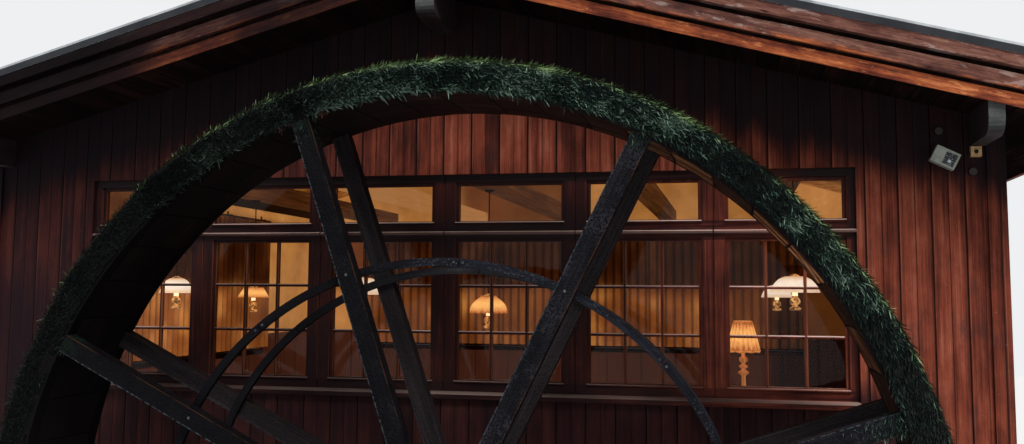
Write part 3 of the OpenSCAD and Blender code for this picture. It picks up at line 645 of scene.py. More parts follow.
def roof_deck_finish():
    """Boards under the overhangs, darkened nearly black as painted shade, and brushed ochre plaster on the slopes over
    the room, with the lamps' light painted on it as a glow.
    """
    f = Finish("roof_boards", Emission_Strength=0.60, Specular_IOR_Level=0.0)
    x, y, run = f.x, f.y, abs(f.x)
    count = run / DECK_BOARD_W
    index, local = f.floor(count), f.fraction(count)
    grain = f.streaks(x * 34, y * 1.2, index * 2.9, 5, 0.62)
    mixed = grain * 0.55 + f.noise(f.place, 1.1, 4, 0.6) * 0.42 + f.random(index) * 0.10
    # Nearly black boards: painted shade under the overhangs.
    boards = f.ramp(mixed, (0.40, (0.0040, 0.0028, 0.0032)), (0.56, (0.0095, 0.0055, 0.0050)),
                    (0.72, (0.024, 0.012, 0.009)))
    boards = f.mix(f.fade(f.least(local, 1 - local), 0.045, 0.020), boards, (0.006, 0.003, 0.003))
    brushed = f.streaks(x * 16 + y * 12, y * 5 - x * 2, 0.0, 4, 0.65)
    stained = f.noise(f.place, 1.5, 4, 0.6)
    plaster = f.ramp(brushed * 0.5 + stained * 0.5, (0.36, (0.115, 0.036, 0.008)),
                     (0.52, (0.30, 0.110, 0.022)), (0.70, (0.62, 0.29, 0.075)))
    room = inside_room(f)
    # Painted shade on the plaster in the front left corner.
    far = 1 - f.fade(x, -2.6, -3.5) * f.fade(y, 1.2, 0.2) * 0.80
    # Painted lamp light on the plaster, in patches.
    lit = room * far * f.fade(stained + run * 0.035, 0.34, 0.70)
    # How strong the painted glow is: most over the middle, less near the beam lamp.
    dusk = 0.12 + f.fade(abs(x + 0.05), 0.85, 0.35) * 0.36 - f.fade(abs(x - BEAM_LAMP_X), 0.8, 0.4) * 0.12
    glow = f.mix(dusk, f.mix(lit, BLACK, plaster), BLACK)
    return f.paint(f.mix(room, boards, plaster), Roughness=0.65, Emission_Color=glow,
                   Normal=f.bump(grain, 0.003, 0.6))


def roof_metal_finish():
    """Dull grey sheet with rain streaks down the slope."""
    f = Finish("roof_metal")
    run = abs(f.x)
    streak = f.streaks(run * 0.7, f.y * 16, 0.0, 4, 0.6)
    patch = f.noise(f.place, 1.1, 5, 0.6)
    colour = f.ramp(streak * 0.5 + patch * 0.5, (0.34, (0.060, 0.064, 0.068)), (0.52, (0.115, 0.12, 0.125)),
                    (0.70, (0.19, 0.195, 0.195)))
    lichen = f.fade(f.noise(f.place, 9, 5, 0.7), 0.60, 0.68)
    colour = f.mix(lichen * 0.4, colour, (0.16, 0.17, 0.12))
    return f.paint(colour, Roughness=0.42 + patch * 0.3, Normal=f.bump(patch, 0.002, 0.4))


def pale_metal_finish():
    """Light folded sheet, dulled in patches, with painted shade on its upright face below the top lip."""
    f = Finish("pale_metal", Specular_IOR_Level=0.2)
    patch = f.noise(f.place, 3.5, 5, 0.65)
    colour = f.ramp(patch, (0.35, (0.20, 0.22, 0.24)), (0.60, (0.42, 0.45, 0.47)))
    # Painted shade on the upright face below the top lip.
    edge = f.fade(abs(f.facing("Y")), 0.5, 0.7) * f.fade(roof_drop(f), 0.014, 0.019)
    colour = f.mix(edge * 0.95, colour, (0.0075, 0.0085, 0.0130))
    return f.paint(colour, Roughness=0.34 + patch * 0.25 + edge * 0.5, Metallic=0.35 - edge * 0.35,
                   Normal=f.bump(patch, 0.002, 0.3))


def purlin_finish():
    """Pale cracked paint on the upright end, a dull lip under it, bare dark timber elsewhere."""
    f = Finish("purlin_paint", Specular_IOR_Level=0.2)
    grain = f.streaks(f.x * 30, f.y * 2, f.z * 22, 5, 0.65)
    lying = f.streaks(f.x * 9, f.y * 12, f.z * 95, 4, 0.6)
    dirt = f.fade(f.noise(f.place, 9, 4, 0.65), 0.40, 0.66)
    paint = f.mix(dirt * 0.6, (0.066, 0.070, 0.070), (0.024, 0.027, 0.029))
    paint = f.mix(f.fade(lying, 0.55, 0.61) * 0.9, paint, (0.030, 0.035, 0.030))
    bare = f.ramp(grain, (0.35, (0.010, 0.007, 0.009)), (0.65, (0.030, 0.019, 0.022)))
    turned = f.facing("Y") * (1 - 2 * (f.y > MID_Y))
    lip = f.mix(f.fade(turned, -0.80, -0.93), (0.030, 0.029, 0.034), paint)
    colour = f.mix(f.fade(turned, -0.55, -0.75), bare, lip)
    side = f.fade(abs(f.facing("X")), 0.45, 0.65)
    colour = f.mix(side, colour, bare)
    return f.paint(colour, Roughness=0.6, Normal=f.bump(grain * 0.5 + lying * 0.5, 0.003, 0.7))


def damp_foot(f, broad):
    """How wet the masonry is, most at its foot."""
    return f.fade(f.z + broad * 0.8, 1.5, 0.4)


def stone_finish():
    """Grey and brown rubble stone, each stone with its own tone."""
    f = Finish("stone")
    fine = f.noise(f.place, 26, 6, 0.68)
    broad = f.noise(f.place, 5, 4, 0.6)
    colour = f.ramp(f.attribute("tone") * 0.6 + broad * 0.45, (0.20, (0.085, 0.082, 0.078)),
                    (0.45, (0.17, 0.155, 0.135)), (0.65, (0.25, 0.235, 0.205)), (0.85, (0.33, 0.29, 0.235)))
    speck = f.fade(f.noise(f.place, 90, 3, 0.7), 0.58, 0.70)
    colour = f.mix(speck * 0.4, colour, (0.40, 0.39, 0.36))
    colour = f.mix(damp_foot(f, broad) * 0.55, colour, (0.045, 0.052, 0.038))
    return f.paint(colour, Roughness=0.80 + fine * 0.12, Normal=f.bump(fine * 0.6 + broad * 0.4, 0.012, 0.8))


def mortar_finish():
    """Lime mortar, and lime wash on the inner faces."""
    f = Finish("mortar")
    fine = f.noise(f.place, 45, 5, 0.7)
    broad = f.noise(f.place, 2.5, 4, 0.6)
    colour = f.ramp(fine * 0.4 + broad * 0.6, (0.35, (0.17, 0.16, 0.14)), (0.62, (0.34, 0.32, 0.28)))
    colour = f.mix(damp_foot(f, broad) * 0.5, colour, (0.06, 0.066, 0.048))
    return f.paint(colour, Roughness=0.9, Normal=f.bump(fine, 0.006, 0.7))


def glass_finish():
    """Clear drawn glass with a slight wave."""
    f = Finish("window_glass", Base_Color=(0.95, 0.95, 0.94, 1), Roughness=0.02, IOR=1.16,
               Transmission_Weight=1.0)
    wave = f.noise(f.place, 5, 2)
    return f.paint(Normal=f.bump(wave, 0.004, 0.25))


def iron_finish():
    """Oiled iron, rusty in patches."""
    f = Finish("iron", Metallic=0.5)
    patch = f.noise(f.place, 14, 5, 0.65)
    rust = f.fade(patch, 0.52, 0.66)
    colour = f.mix(rust * 0.7, (0.050, 0.048, 0.046), (0.13, 0.052, 0.022))
    return f.paint(colour, Roughness=0.45 + rust * 0.35, Normal=f.bump(patch, 0.002, 0.6))


def zinc_finish():
    """Dulled zinc on bolt heads and small fixings."""
    f = Finish("zinc", Metallic=0.6)
    patch = f.noise(f.place, 60, 4, 0.6)
    colour = f.ramp(patch, (0.38, (0.018, 0.017, 0.019)), (0.62, (0.105, 0.106, 0.115)))
    return f.paint(colour, Roughness=0.38 + patch * 0.25)


def curtain_finish():
    """Woven cloth with the room's lamp light painted on it as a glow where that light reaches, and painted shade in
    its folds.
    """
    f = Finish("curtain_cloth", Roughness=0.85, Emission_Strength=2.1, Specular_IOR_Level=0.05)
    threads = f.streaks(f.x * 420, f.y * 420, f.z * 84, 3, 0.6)
    broad = f.noise(f.place, 1.6, 3, 0.5)
    colour = f.ramp(threads * 0.25 + broad * 0.75, (0.36, (0.085, 0.022, 0.0055)),
                    (0.52, (0.18, 0.054, 0.012)), (0.66, (0.38, 0.150, 0.036)))
    colour = f.mix(f.fade(f.attribute("fold"), 0.1, -0.9) * 0.70, colour, (0.030, 0.008, 0.003))
    glow = f.mix(lamp_light(f), BLACK, colour)
    return f.paint(colour, Emission_Color=glow, Normal=f.bump(threads, 0.002, 0.4))


def distance(f, dx, dz):
    return f.math("SQRT", dx * dx + dz * dz)


def flood_lamp_finish():
    """Grey housing; behind its window a speckled louvre with one bright spot."""
    f = Finish("lamp_grey", Specular_IOR_Level=0.3)
    sine, cosine = math.sin(math.radians(LAMP_TILT)), math.cos(math.radians(LAMP_TILT))
    dx, dz = f.x - LAMP_AT[0], f.z - LAMP_AT[1]
    across, up = dx * cosine - dz * sine, dx * sine + dz * cosine
    window = (across > -0.0095) * (across < 0.0680) * (abs(up) < 0.0430)
    window = window * (f.y > FRONT - 0.1490) * (f.y < FRONT - 0.1300)
    patch = f.noise(f.place, 22, 4, 0.6)
    grey = f.ramp(patch, (0.36, (0.20, 0.215, 0.19)), (0.60, (0.30, 0.32, 0.285)))
    cells = f.cells(f.vector(across, up, 0.0), 130, 0.7)
    louvre = f.mix(f.fade(cells, 0.42, 0.26), (0.012, 0.013, 0.015), (0.40, 0.42, 0.45))
    spot = f.fade(distance(f, across - 0.034, up + 0.012), 0.016, 0.005)
    colour = f.mix(window, grey, f.mix(spot, louvre, (0.62, 0.66, 0.72)))
    return f.paint(colour, Roughness=0.45 + patch * 0.15)


def sensor_finish():
    """The square one is cream with a dark eye, the two round covers are dark brown."""
    f = Finish("ivory", Specular_IOR_Level=0.3)
    dx, dz = f.x - SENSOR_AT[0], f.z - SENSOR_AT[1]
    patch = f.noise(f.place, 40, 4, 0.6)
    square = (abs(dx) < 0.037) * (abs(dz) < 0.037)
    cream = f.ramp(patch, (0.35, (0.26, 0.145, 0.055)), (0.60, (0.42, 0.27, 0.13)))
    cream = f.mix(f.fade(distance(f, dx, dz), 0.0170, 0.0135), cream, (0.016, 0.009, 0.007))
    brown = f.ramp(patch, (0.35, (0.006, 0.004, 0.004)), (0.62, (0.018, 0.010, 0.009)))
    return f.paint(f.mix(square, brown, cream), Roughness=0.40 + patch * 0.2)


def brass_finish():
    """Old brass, brown in its hollows, with the lamps' light painted on it as a glow."""
    f = Finish("lamp_brass", Metallic=0.35, Emission_Strength=0.62)
    patch = f.noise(f.place, 42, 4, 0.6)
    colour = f.ramp(patch, (0.38, (0.055, 0.020, 0.005)), (0.48, (0.26, 0.105, 0.026)),
                    (0.60, (0.90, 0.47, 0.15)))
    return f.paint(colour, Roughness=0.28 + patch * 0.2, Emission_Color=colour)


def shade_finish(name, edge, heart, glow, pleated=0.0):
    """A lit shade, brightest at the middle of its height, with darker lines where it is pleated."""
    f = Finish(name, Roughness=0.5, Emission_Strength=glow)
    lit = f.attribute("lit")
    cloud = f.noise(f.place, 26, 3, 0.5)
    lines = f.streaks(f.x * 120, f.y * 120, f.z * 3, 2, 0.5)
    colour = f.ramp(lit * 0.85 + cloud * 0.3 - 0.15 - (lines - 0.45) * pleated, (0.0, edge), (0.85, heart))
    return f.paint(colour, Emission_Color=colour)


# Finishes of the wheel, in polar coordinates about its axle

# Colours of the painted shade on the wheel's left side
SIDE_SHADE = (0.0021, 0.0018, 0.0024)
STRAND_SIDE_SHADE = (0.0042, 0.0040, 0.0046)


def polar(f):
    """Distance from the axle and angle clockwise from up."""
    dx, dz = f.x - HUB.x, f.z - HUB.z
    return distance(f, dx, dz), f.math("ARCTAN2", dx, dz)


def shaded_side(f):
    """The left side of the wheel, where painted shade darkens it."""
    return f.fade(f.math("SINE", polar(f)[1]), 0.02, -0.42)


def arm_frame(f):
    """Places along and across the nearest arm, and the arm's number."""
    radius, angle = polar(f)
    number = round((angle - ARM_TURN) / ARM_STEP)
    local = angle - (number * ARM_STEP + ARM_TURN)
    return f.math("COSINE", local) * radius, f.math("SINE", local) * radius, number


def arm_finish(name, dark, mid, pale, hewn, painted_light_weight):
    """Arm timber with the marks of the adze, their rims painted light as glints; a painted highlight along one edge, a
    painted warm reflection along the other, painted shade on the wheel's left side, green at the end.
    """
    f = Finish(name, Specular_IOR_Level=0.03)
    along, across, number = arm_frame(f)
    depth = f.y
    grain = f.streaks(along * 1.6 + number * 3.1, across * 55, depth * 55, 5, 0.65)
    broad = f.streaks(along * 1.2 + number, across * 6, depth * 6, 4, 0.6)
    bend = f.noise(f.place, 26, 2, 0.5)
    cuts = f.cells(f.vector(along * 62 + bend * 1.8, across * 92 + bend * 1.5, depth * 92))
    # The adze marks' rims, coloured light as painted glints.
    rims = f.fade(cuts, 0.42, 0.62) * f.fade(f.noise(f.place, 9, 3, 0.6), 0.40, 0.62)
    face = f.fade(abs(f.facing("Y")), 0.6, 0.8)
    highlight_patches = f.fade(f.streaks(along * 26, number, 0.0, 3, 0.7), 0.42, 0.58)
    reflection_patches = f.fade(f.streaks(along * 3, number, 0.0), 0.42, 0.60)
    # Painted blue highlight along one edge of the front face, in patches.
    shade_and_highlight_band = f.fade(across, -ARM_W * 0.42, -ARM_W * 0.47) * highlight_patches * face
    # Painted reflection of warm light along the other edge of the front face.
    worn = f.fade(across, ARM_W * 0.45, ARM_W * 0.49) * reflection_patches * face
    green = f.fade(along, 2.76, 3.00) * f.fade(f.noise(f.place, 22, 4, 0.7), 0.42, 0.56)
    colour = f.ramp(grain * 0.55 + broad * 0.50, (0.42, dark), (0.56, mid), (0.74, pale))
    colour = f.layers(colour, (rims * hewn, (0.024, 0.025, 0.033)),
                      (shaded_side(f) * (0.20 + painted_light_weight * 0.84), SIDE_SHADE), (shade_and_highlight_band * painted_light_weight, (0.045, 0.060, 0.070)),
                      (worn * painted_light_weight * 0.45, (0.16, 0.060, 0.024)),
                      (green * min(0.8, hewn * 1.3), (0.012, 0.028, 0.017)))
    return f.paint(colour, Roughness=0.38 + grain * 0.3,
                   Normal=f.bump(grain * 0.35 + f.fade(cuts, 0.15, 0.6) * 0.65, 0.006, 0.9))


def rim_finish(name, dark, mid, pale, glints, jointed=False):
    """Wet, nearly black curved timbers with fine light dots painted as glints, and painted shade on the wheel's left
    side. Jointed ones meet halfway between the arms.
    """
    f = Finish(name, Specular_IOR_Level=0.04)
    across, angle = polar(f)
    along, depth = angle * SHROUD_IN, f.y
    grain = f.streaks(along * 1.6, across * 55, depth * 55, 5, 0.65)
    pits = f.cells(f.vector(along * 60, across * 95, depth * 95))
    broad = f.streaks(along * 1.2, across * 6, depth * 6, 4, 0.6)
    # Painted glints: fine light dots in patches.
    glint_dots = f.fade(f.noise(f.place, 120, 2, 0.6), 0.60, 0.66)
    glint_patches = f.fade(f.streaks(along * 3, across * 9, depth * 5, 3), 0.42, 0.60)
    colour = f.ramp(grain * 0.55 + broad * 0.50, (0.42, dark), (0.56, mid), (0.72, pale))
    colour = f.layers(colour, (glint_dots * glint_patches * glints, (0.11, 0.12, 0.14)), (shaded_side(f) * 0.85, SIDE_SHADE))
    if jointed:
        turn = (angle - ARM_TURN) / ARM_STEP + 0.5
        joint = abs(turn - round(turn)) * (ARM_STEP * SHROUD_IN)
        colour = f.mix(f.fade(joint, 0.009, 0.004), colour, (0.003, 0.002, 0.002))
    return f.paint(colour, Roughness=0.38 + grain * 0.3,
                   Normal=f.bump(grain * 0.45 + f.fade(pits, 0.0, 0.5) * 0.55, 0.005, 0.9))


def sole_finish():
    """Short planks along the rim, one to a bucket, with painted light from the room as orange streaks on some planks,
    and painted shade on the wheel's left side.
    """
    f = Finish("sole_timber", Specular_IOR_Level=0.07)
    across, angle = f.y, polar(f)[1]
    pitch = angle * (BUCKET_COUNT / math.tau)
    plank = f.floor(pitch)
    board = f.floor((across - RIM_FRONT) * (SOLE_ROWS / (RIM_REAR - RIM_FRONT)))
    own = f.random(plank * 7.3 + board)
    grain = f.streaks(angle * 4.5, across * 46, own * 9, 5, 0.66)
    fibre = f.streaks(angle * 16, across * 190, own * 5, 3, 0.6)
    patch = f.streaks(angle * 5, across * 5, own * 3, 4, 0.6)
    streak = f.streaks(angle * 8, across * 17, plank * 3.3, 4, 0.65)
    mixed = grain * 0.44 + fibre * 0.14 + patch * 0.34 + own * 0.14
    # Painted light: how strongly the room's light falls on each plank.
    dry = 0.0
    for number, amount in LIT_PLANKS.items():
        dry = (plank > number - 0.5) * (plank < number + 0.5) * amount + dry
    dark = f.ramp(mixed, (0.42, (0.0042, 0.0028, 0.0034)), (0.56, (0.0105, 0.0062, 0.0064)),
                  (0.72, (0.034, 0.017, 0.014)))
    # Colour of the planks under the painted light, with bright painted streaks.
    worn = f.ramp(mixed, (0.42, (0.014, 0.006, 0.004)), (0.52, (0.065, 0.022, 0.012)),
                  (0.64, (0.19, 0.064, 0.026)), (0.76, (0.42, 0.18, 0.080)))
    worn = f.layers(worn, (f.fade(streak, 0.51, 0.60) * dry, (0.98, 0.47, 0.22)),
                    (f.fade(streak, 0.46, 0.38) * 0.72, (0.016, 0.007, 0.005)))
    seam = f.fade(abs(pitch - round(pitch)), 0.060, 0.020)
    colour = f.layers(dark, (dry, worn), (shaded_side(f) * 0.80, SIDE_SHADE), (seam * 0.85, (0.004, 0.003, 0.003)))
    return f.paint(colour, Roughness=0.5 + grain * 0.25, Normal=f.bump(grain * 0.6 + fibre * 0.4, 0.004, 0.8))


def bucket_finish():
    """Boards that run along the axle, each bucket with its own tone."""
    f = Finish("bucket_timber", Specular_IOR_Level=0.12)
    radius, angle = polar(f)
    tone = f.random(f.floor(angle * (BUCKET_COUNT / math.tau)))
    grain = f.streaks(angle * 140, radius * 40, f.y * 1.8, 5, 0.65)
    colour = f.ramp(grain * 0.6 + tone * 0.3, (0.30, (0.009, 0.007, 0.006)),
                    (0.50, (0.026, 0.018, 0.014)), (0.70, (0.070, 0.048, 0.036)))
    return f.paint(colour, Roughness=0.45 + grain * 0.3, Normal=f.bump(grain, 0.004, 0.8))


def strand_finish(name, inner, outer, edge):
    """Strands, dark at the root and pale at the tip, with brighter colours on the rim's outer edge as a painted
    highlight, and painted shade on the wheel's left side.
    """
    f = Finish(name, Specular_IOR_Level=0.10)
    place = f.attribute("along") * 0.26 + f.attribute("tone") * 0.80
    stops = (0.16, 0.36, 0.56, 0.76, 0.96)
    # Painted highlight on the rim's outer edge.
    rim = f.fade(polar(f)[0], *edge)
    colour = f.mix(rim, f.ramp(place, *zip(stops, inner)), f.ramp(place, *zip(stops, outer)))
    return f.paint(f.mix(shaded_side(f) * (0.66 - rim * 0.60), colour, STRAND_SIDE_SHADE), Roughness=0.55)


def moss_bed_finish():
    """The dark wet mat under the strands, with painted shade on the wheel's left side."""
    f = Finish("moss_bed", Specular_IOR_Level=0.03)
    clumps = f.noise(f.place, 30, 4, 0.7)
    colour = f.ramp(clumps, (0.36, (0.0022, 0.0038, 0.0036)), (0.66, (0.0080, 0.0150, 0.0110)))
    return f.paint(f.mix(shaded_side(f) * 0.85, colour, SIDE_SHADE), Roughness=0.9, Normal=f.bump(clumps, 0.02, 1.0))


# Colours of the strands from root to tip: the moss's, the same on the rim's outer edge painted brighter as a
# highlight, and the dead ones'
MOSS_INNER = ((0.0018, 0.0034, 0.0036), (0.0034, 0.0072, 0.0066), (0.0068, 0.0165, 0.0118),
              (0.0260, 0.0580, 0.0410), (0.135, 0.200, 0.158))
MOSS_LIT_EDGE = ((0.0024, 0.0042, 0.0032), (0.0056, 0.0105, 0.0060), (0.0170, 0.0330, 0.0145),
              (0.078, 0.128, 0.050), (0.25, 0.36, 0.16))
DRY_STRANDS = ((0.008, 0.003, 0.002), (0.020, 0.007, 0.003), (0.044, 0.015, 0.006), (0.09, 0.034, 0.013),
               (0.17, 0.068, 0.028))

FINISH = {
    "boards_x": wall_finish("boards_x", "X", BOARD_FIRST),
    "boards_y": wall_finish("boards_y", "Y", MID_Y),
    "window_x": window_finish("window_timber_x", "X"),
    "window_y": window_finish("window_timber_y", "Y"),
    "verge": verge_finish(),
    "soffit": roof_deck_finish(),
    "beam": plain_timber_finish("beam_timber", (30, 1.1, 30), (0.030, 0.012, 0.008),
                                (0.075, 0.030, 0.018), (0.13, 0.055, 0.030)),
    # The ceiling beams glow with painted lamp light, most near BEAM_LAMP_X.
    "ceiling_beam": plain_timber_finish("ceiling_beam", (30, 1.1, 30), (0.040, 0.013, 0.004),
                                        (0.13, 0.044, 0.013), (0.27, 0.105, 0.032), 0.34, BEAM_LAMP_X),
    "floor": plain_timber_finish("floor_timber", (1.1, 26, 26), (0.10, 0.045, 0.022),
                                 (0.22, 0.105, 0.050), (0.32, 0.17, 0.085)),
    "roof_metal": roof_metal_finish(),
    "pale_metal": pale_metal_finish(),
    "pale_paint": purlin_finish(),
    "stone": stone_finish(),
    "mortar": mortar_finish(),
    "glass": glass_finish(),
    "iron": iron_finish(),
    "zinc": zinc_finish(),
    "curtain": curtain_finish(),
    "lamp": flood_lamp_finish(),
    "ivory": sensor_finish(),
    "opal": shade_finish("opal_shade", (0.70, 0.40, 0.21), (1.0, 0.86, 0.70), 0.80),
    "pleats": shade_finish("pleated_shade", (0.34, 0.082, 0.014), (1.0, 0.49, 0.145), 0.98, 1.0),
    "chimney": shade_finish("lamp_chimney", (0.80, 0.40, 0.14), (1.0, 0.76, 0.44), 1.1),
    "brass": brass_finish(),
    # The standing lamp's post glows with painted lamp light.
    "lamp_wood": plain_timber_finish("lamp_wood", (30, 30, 6), (0.22, 0.060, 0.016),
                                     (0.50, 0.160, 0.042), (0.85, 0.36, 0.12), 0.50),
    "lamp_rod": plain_timber_finish("lamp_rod", (40, 40, 8), (0.012, 0.007, 0.005),
                                    (0.030, 0.016, 0.010), (0.06, 0.032, 0.020)),
    "front_arm": arm_finish("front_arm_timber", (0.0034, 0.0031, 0.0043), (0.0064, 0.0060, 0.0080),
                            (0.0160, 0.0145, 0.0180), 0.55, 0.8),
    # Rear arms and rear ring: the same timber as the front ones, painted lighter as lit copies.
    "rear_arm": arm_finish("rear_arm_timber", (0.0095, 0.0078, 0.0090), (0.0200, 0.0160, 0.0180),
                           (0.046, 0.037, 0.040), 0.14, 0.3),
    "front_ring": rim_finish("front_ring_timber", (0.0028, 0.0029, 0.0042), (0.0075, 0.0080, 0.0120),
                             (0.026, 0.031, 0.044), 0.55),
    "rear_ring": rim_finish("rear_ring_timber", (0.0075, 0.0070, 0.0085), (0.0170, 0.0160, 0.0190),
                            (0.042, 0.041, 0.046), 0.30),
    "shroud": rim_finish("shroud_timber", (0.0032, 0.0026, 0.0027), (0.0078, 0.0058, 0.0058),
                         (0.022, 0.016, 0.0145), 0.25, jointed=True),
    "sole": sole_finish(),
    "bucket": bucket_finish(),
    "moss_bed": moss_bed_finish(),
    "strands": strand_finish("moss_strands", MOSS_INNER, MOSS_LIT_EDGE, (3.090, 3.135)),
    "dry_strands": strand_finish("dry_strands", DRY_STRANDS, DRY_STRANDS, (3.045, 3.120)),
}

# The CAD nodes that each finish is given to
NODE_FINISHES = {
    "boards_x": "corner_boards",
    "window_x": "ground_sill base_door front_window_frame rear_window_frame window_sashes",
    "window_y": "left_window_frame right_window_frame",
    "verge": "left_verge_boards right_verge_boards eaves_boards",
    "soffit": "roof_left roof_right",
    "beam": "floor_joists",
    "ceiling_beam": "tie_beams",
    "floor": "floor_deck",
    "roof_metal": "roof_sheet_left roof_sheet_right ridge_cap",
    "pale_metal": "verge_flashing",
    "pale_paint": "ridge_purlin eaves_purlins",
    "stone": "outer_pier",
    "glass": "window_glass",
    "iron": "curtain_rods outer_bearing wall_bearing axle_irons",
    "curtain": "curtains",
    "lamp": "flood_lamp",
    "ivory": "wall_sensors",
    "opal": "room_lamps",
    "front_arm": "axle front_arms",
    "rear_arm": "rear_arms",
    "shroud": "front_shroud rear_shroud",
    "bucket": "buckets",
}


# Making pieces


def scene_object(name, data):
    """A new object in the scene."""
    obj = bpy.data.objects.new(name, data)
    bpy.context.scene.collection.objects.link(obj)
    return obj


def dress(mesh, finish):
    """Gives a mesh one finish in place of what it has."""
    mesh.materials.clear()
    mesh.materials.append(FINISH[finish])
    return mesh


def store(mesh, name, values):
    """Keeps one number for each of a mesh's points."""
    mesh.attributes.new(name, "FLOAT", "POINT").data.foreach_set("value", values)


def add_piece(name, mesh, body, slot, replaced=()):
    """Puts a finished mesh in the scene as a piece that rides on its body."""
    obj = scene_object(name, mesh)
    if replaced:
        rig.replaces(obj, *replaced)
    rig.ride(obj, body)
    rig.slot(obj, slot)
    return obj


def mesh_from(name, points, faces):
    mesh = bpy.data.meshes.new(name)
    mesh.from_pydata([tuple(p) for p in points], [], [tuple(f) for f in faces])
    mesh.update()
    return mesh


def mesh_of(build, name, *finishes):
    """A mesh made by a function that fills an empty bmesh, with its faces turned outwards."""
    bm = bmesh.new()
    build(bm)
    bmesh.ops.recalc_face_normals(bm, faces=bm.faces)
    mesh = bpy.data.meshes.new(name)
    bm.to_mesh(mesh)
    bm.free()
    for finish in finishes:
        mesh.materials.append(FINISH[finish])
    return mesh


def add_box(bm, lo, hi, bevel):
    """A block between two corners, with its edges taken off."""
    made = bmesh.ops.create_cube(bm, size=1)["verts"]
    lo, hi = Vector(lo), Vector(hi)
    bmesh.ops.scale(bm, verts=made, vec=hi - lo)
    bmesh.ops.translate(bm, verts=made, vec=(lo + hi) / 2)
    edges = list({edge for vert in made for edge in vert.link_edges})
    bmesh.ops.bevel(bm, geom=edges, offset=bevel, segments=1, affect="EDGES")


def circle(x, z, radius, sides):
    """Points of a circle, clockwise from up."""
    angles = np.linspace(0, math.tau, sides + 1)[:-1]
    return [(x + radius * math.sin(a), z + radius * math.cos(a)) for a in angles]


def bridge(bm, first, second):
    """Faces between two closed rings of as many points."""
    faces = []
    for i in range(len(first)):
        j = (i + 1) % len(first)
        faces.append(bm.faces.new((first[i], first[j], second[j], second[i])))
    return faces


def add_prism(bm, outline, axis, low, high):
    """An outline in the other two axes, drawn out along one axis."""
    order = {"X": (2, 0, 1), "Y": (0, 2, 1), "Z": (0, 1, 2)}[axis]
    ends = []
    for level in (low, high):
        places = [(a, b, level) for a, b in outline]
        ends.append([bm.verts.new([place[i] for i in order]) for place in places])
    bm.faces.new(ends[0])
    bm.faces.new(ends[1])
    bridge(bm, *ends)


def reworked(mesh, change):
    """The mesh after a function has changed it as a bmesh."""
    bm = bmesh.new()
    bm.from_mesh(mesh)
    change(bm)
    bm.to_mesh(mesh)
    bm.free()
    return mesh


def merged_copy(node):
    """A CAD node's mesh with its loose triangles joined."""
    def merge(bm):
        bmesh.ops.remove_doubles(bm, verts=bm.verts, dist=1e-5)
        bmesh.ops.dissolve_limit(bm, angle_limit=0.002, verts=bm.verts, edges=bm.edges)

    return reworked(frame["nodes"][node].data.copy(), merge)


class Tree(Nodes):
    """A Geometry Nodes tree with named inputs, run on a base mesh."""

    def __init__(self, name, **sizes):
        super().__init__(bpy.data.node_groups.new(name, "GeometryNodeTree"))
        face = self.tree.interface
        for label, kind in {"Geometry": "Geometry", **sizes, "Finish": "Material"}.items():
            face.new_socket(label, in_out="INPUT", socket_type="NodeSocket" + kind)
        face.new_socket("Geometry", in_out="OUTPUT", socket_type="NodeSocketGeometry")
        self.entry = self.tree.nodes.new("NodeGroupInput")
        self.exit = self.tree.nodes.new("NodeGroupOutput")

    def size(self, name):
        return Value(self, self.entry.outputs[name])

    def line(self, step):
        """As many points as the tree's Count, a step apart."""
        sockets = {"Count": self.size("Count"), "Offset": step}
        return self.node("GeometryNodeMeshLine", {"mode": "OFFSET"}, sockets)

    def copies(self, points, instance, **more):
        """The instance on each of the points."""
        sockets = {"Points": points, "Instance": instance, **more}
        return self.node("GeometryNodeInstanceOnPoints", sockets=sockets)

    def end(self, geometry):
        """Realizes the instances, sets the material and closes the tree."""
        real = self.node("GeometryNodeRealizeInstances", sockets={0: geometry})
        painted = self.node("GeometryNodeSetMaterial", sockets={0: real, "Material": self.size("Finish")})
        self.feed(self.exit.inputs[0], painted)
        return self

    def run(self, name, base, finish, **sizes):
        """The tree's result on a base mesh, as a plain mesh."""
        obj = scene_object(name, base)
        modifier = obj.modifiers.new(name, "NODES")
        modifier.node_group = self.tree
        sizes["Finish"] = FINISH[finish]
        for item in self.tree.interface.items_tree:
            if item.in_out == "INPUT" and item.name in sizes:
                modifier[item.identifier] = sizes[item.name]
        ready = obj.evaluated_get(bpy.context.evaluated_depsgraph_get())
        mesh = bpy.data.meshes.new_from_object(ready)
        mesh.name = name
        bpy.data.objects.remove(obj)
        return mesh


def row_tree():
    """Repeats the base mesh along a straight line."""
    t = Tree("row", Count="Int", Step="Vector")
    return t.end(t.copies(t.line(t.size("Step")), t.size("Geometry")))


def wheel_tree():
    """Repeats the base mesh round the axle, by equal turns about Y."""
    t = Tree("round_axle", Count="Int", First="Float", Turn="Float", Hub="Vector")
    angle = t.node("GeometryNodeInputIndex") * t.size("Turn") + t.size("First")
    turned = t.node("ShaderNodeCombineXYZ", sockets={1: angle})
    placed = t.copies(t.line((0, 0, 0)), t.size("Geometry"), Rotation=turned)
    return t.end(t.node("GeometryNodeTransform", sockets={0: placed, "Translation": t.size("Hub")}))


def groove_tree():
    """Cuts a row of grooves into the base mesh. The cutter is one object, repeated."""
    t = Tree("grooves", Count="Int", Step="Vector", Cutter="Object")
    cutter = t.node("GeometryNodeObjectInfo", sockets={0: t.size("Cutter")}, output="Geometry")
    placed = t.copies(t.line(t.size("Step")), cutter)
    real = t.node("GeometryNodeRealizeInstances", sockets={0: placed})
    return t.end(t.node("GeometryNodeMeshBoolean", {"operation": "DIFFERENCE", "solver": "EXACT"},
                        {"Mesh 1": t.size("Geometry"), "Mesh 2": real}, "Mesh"))


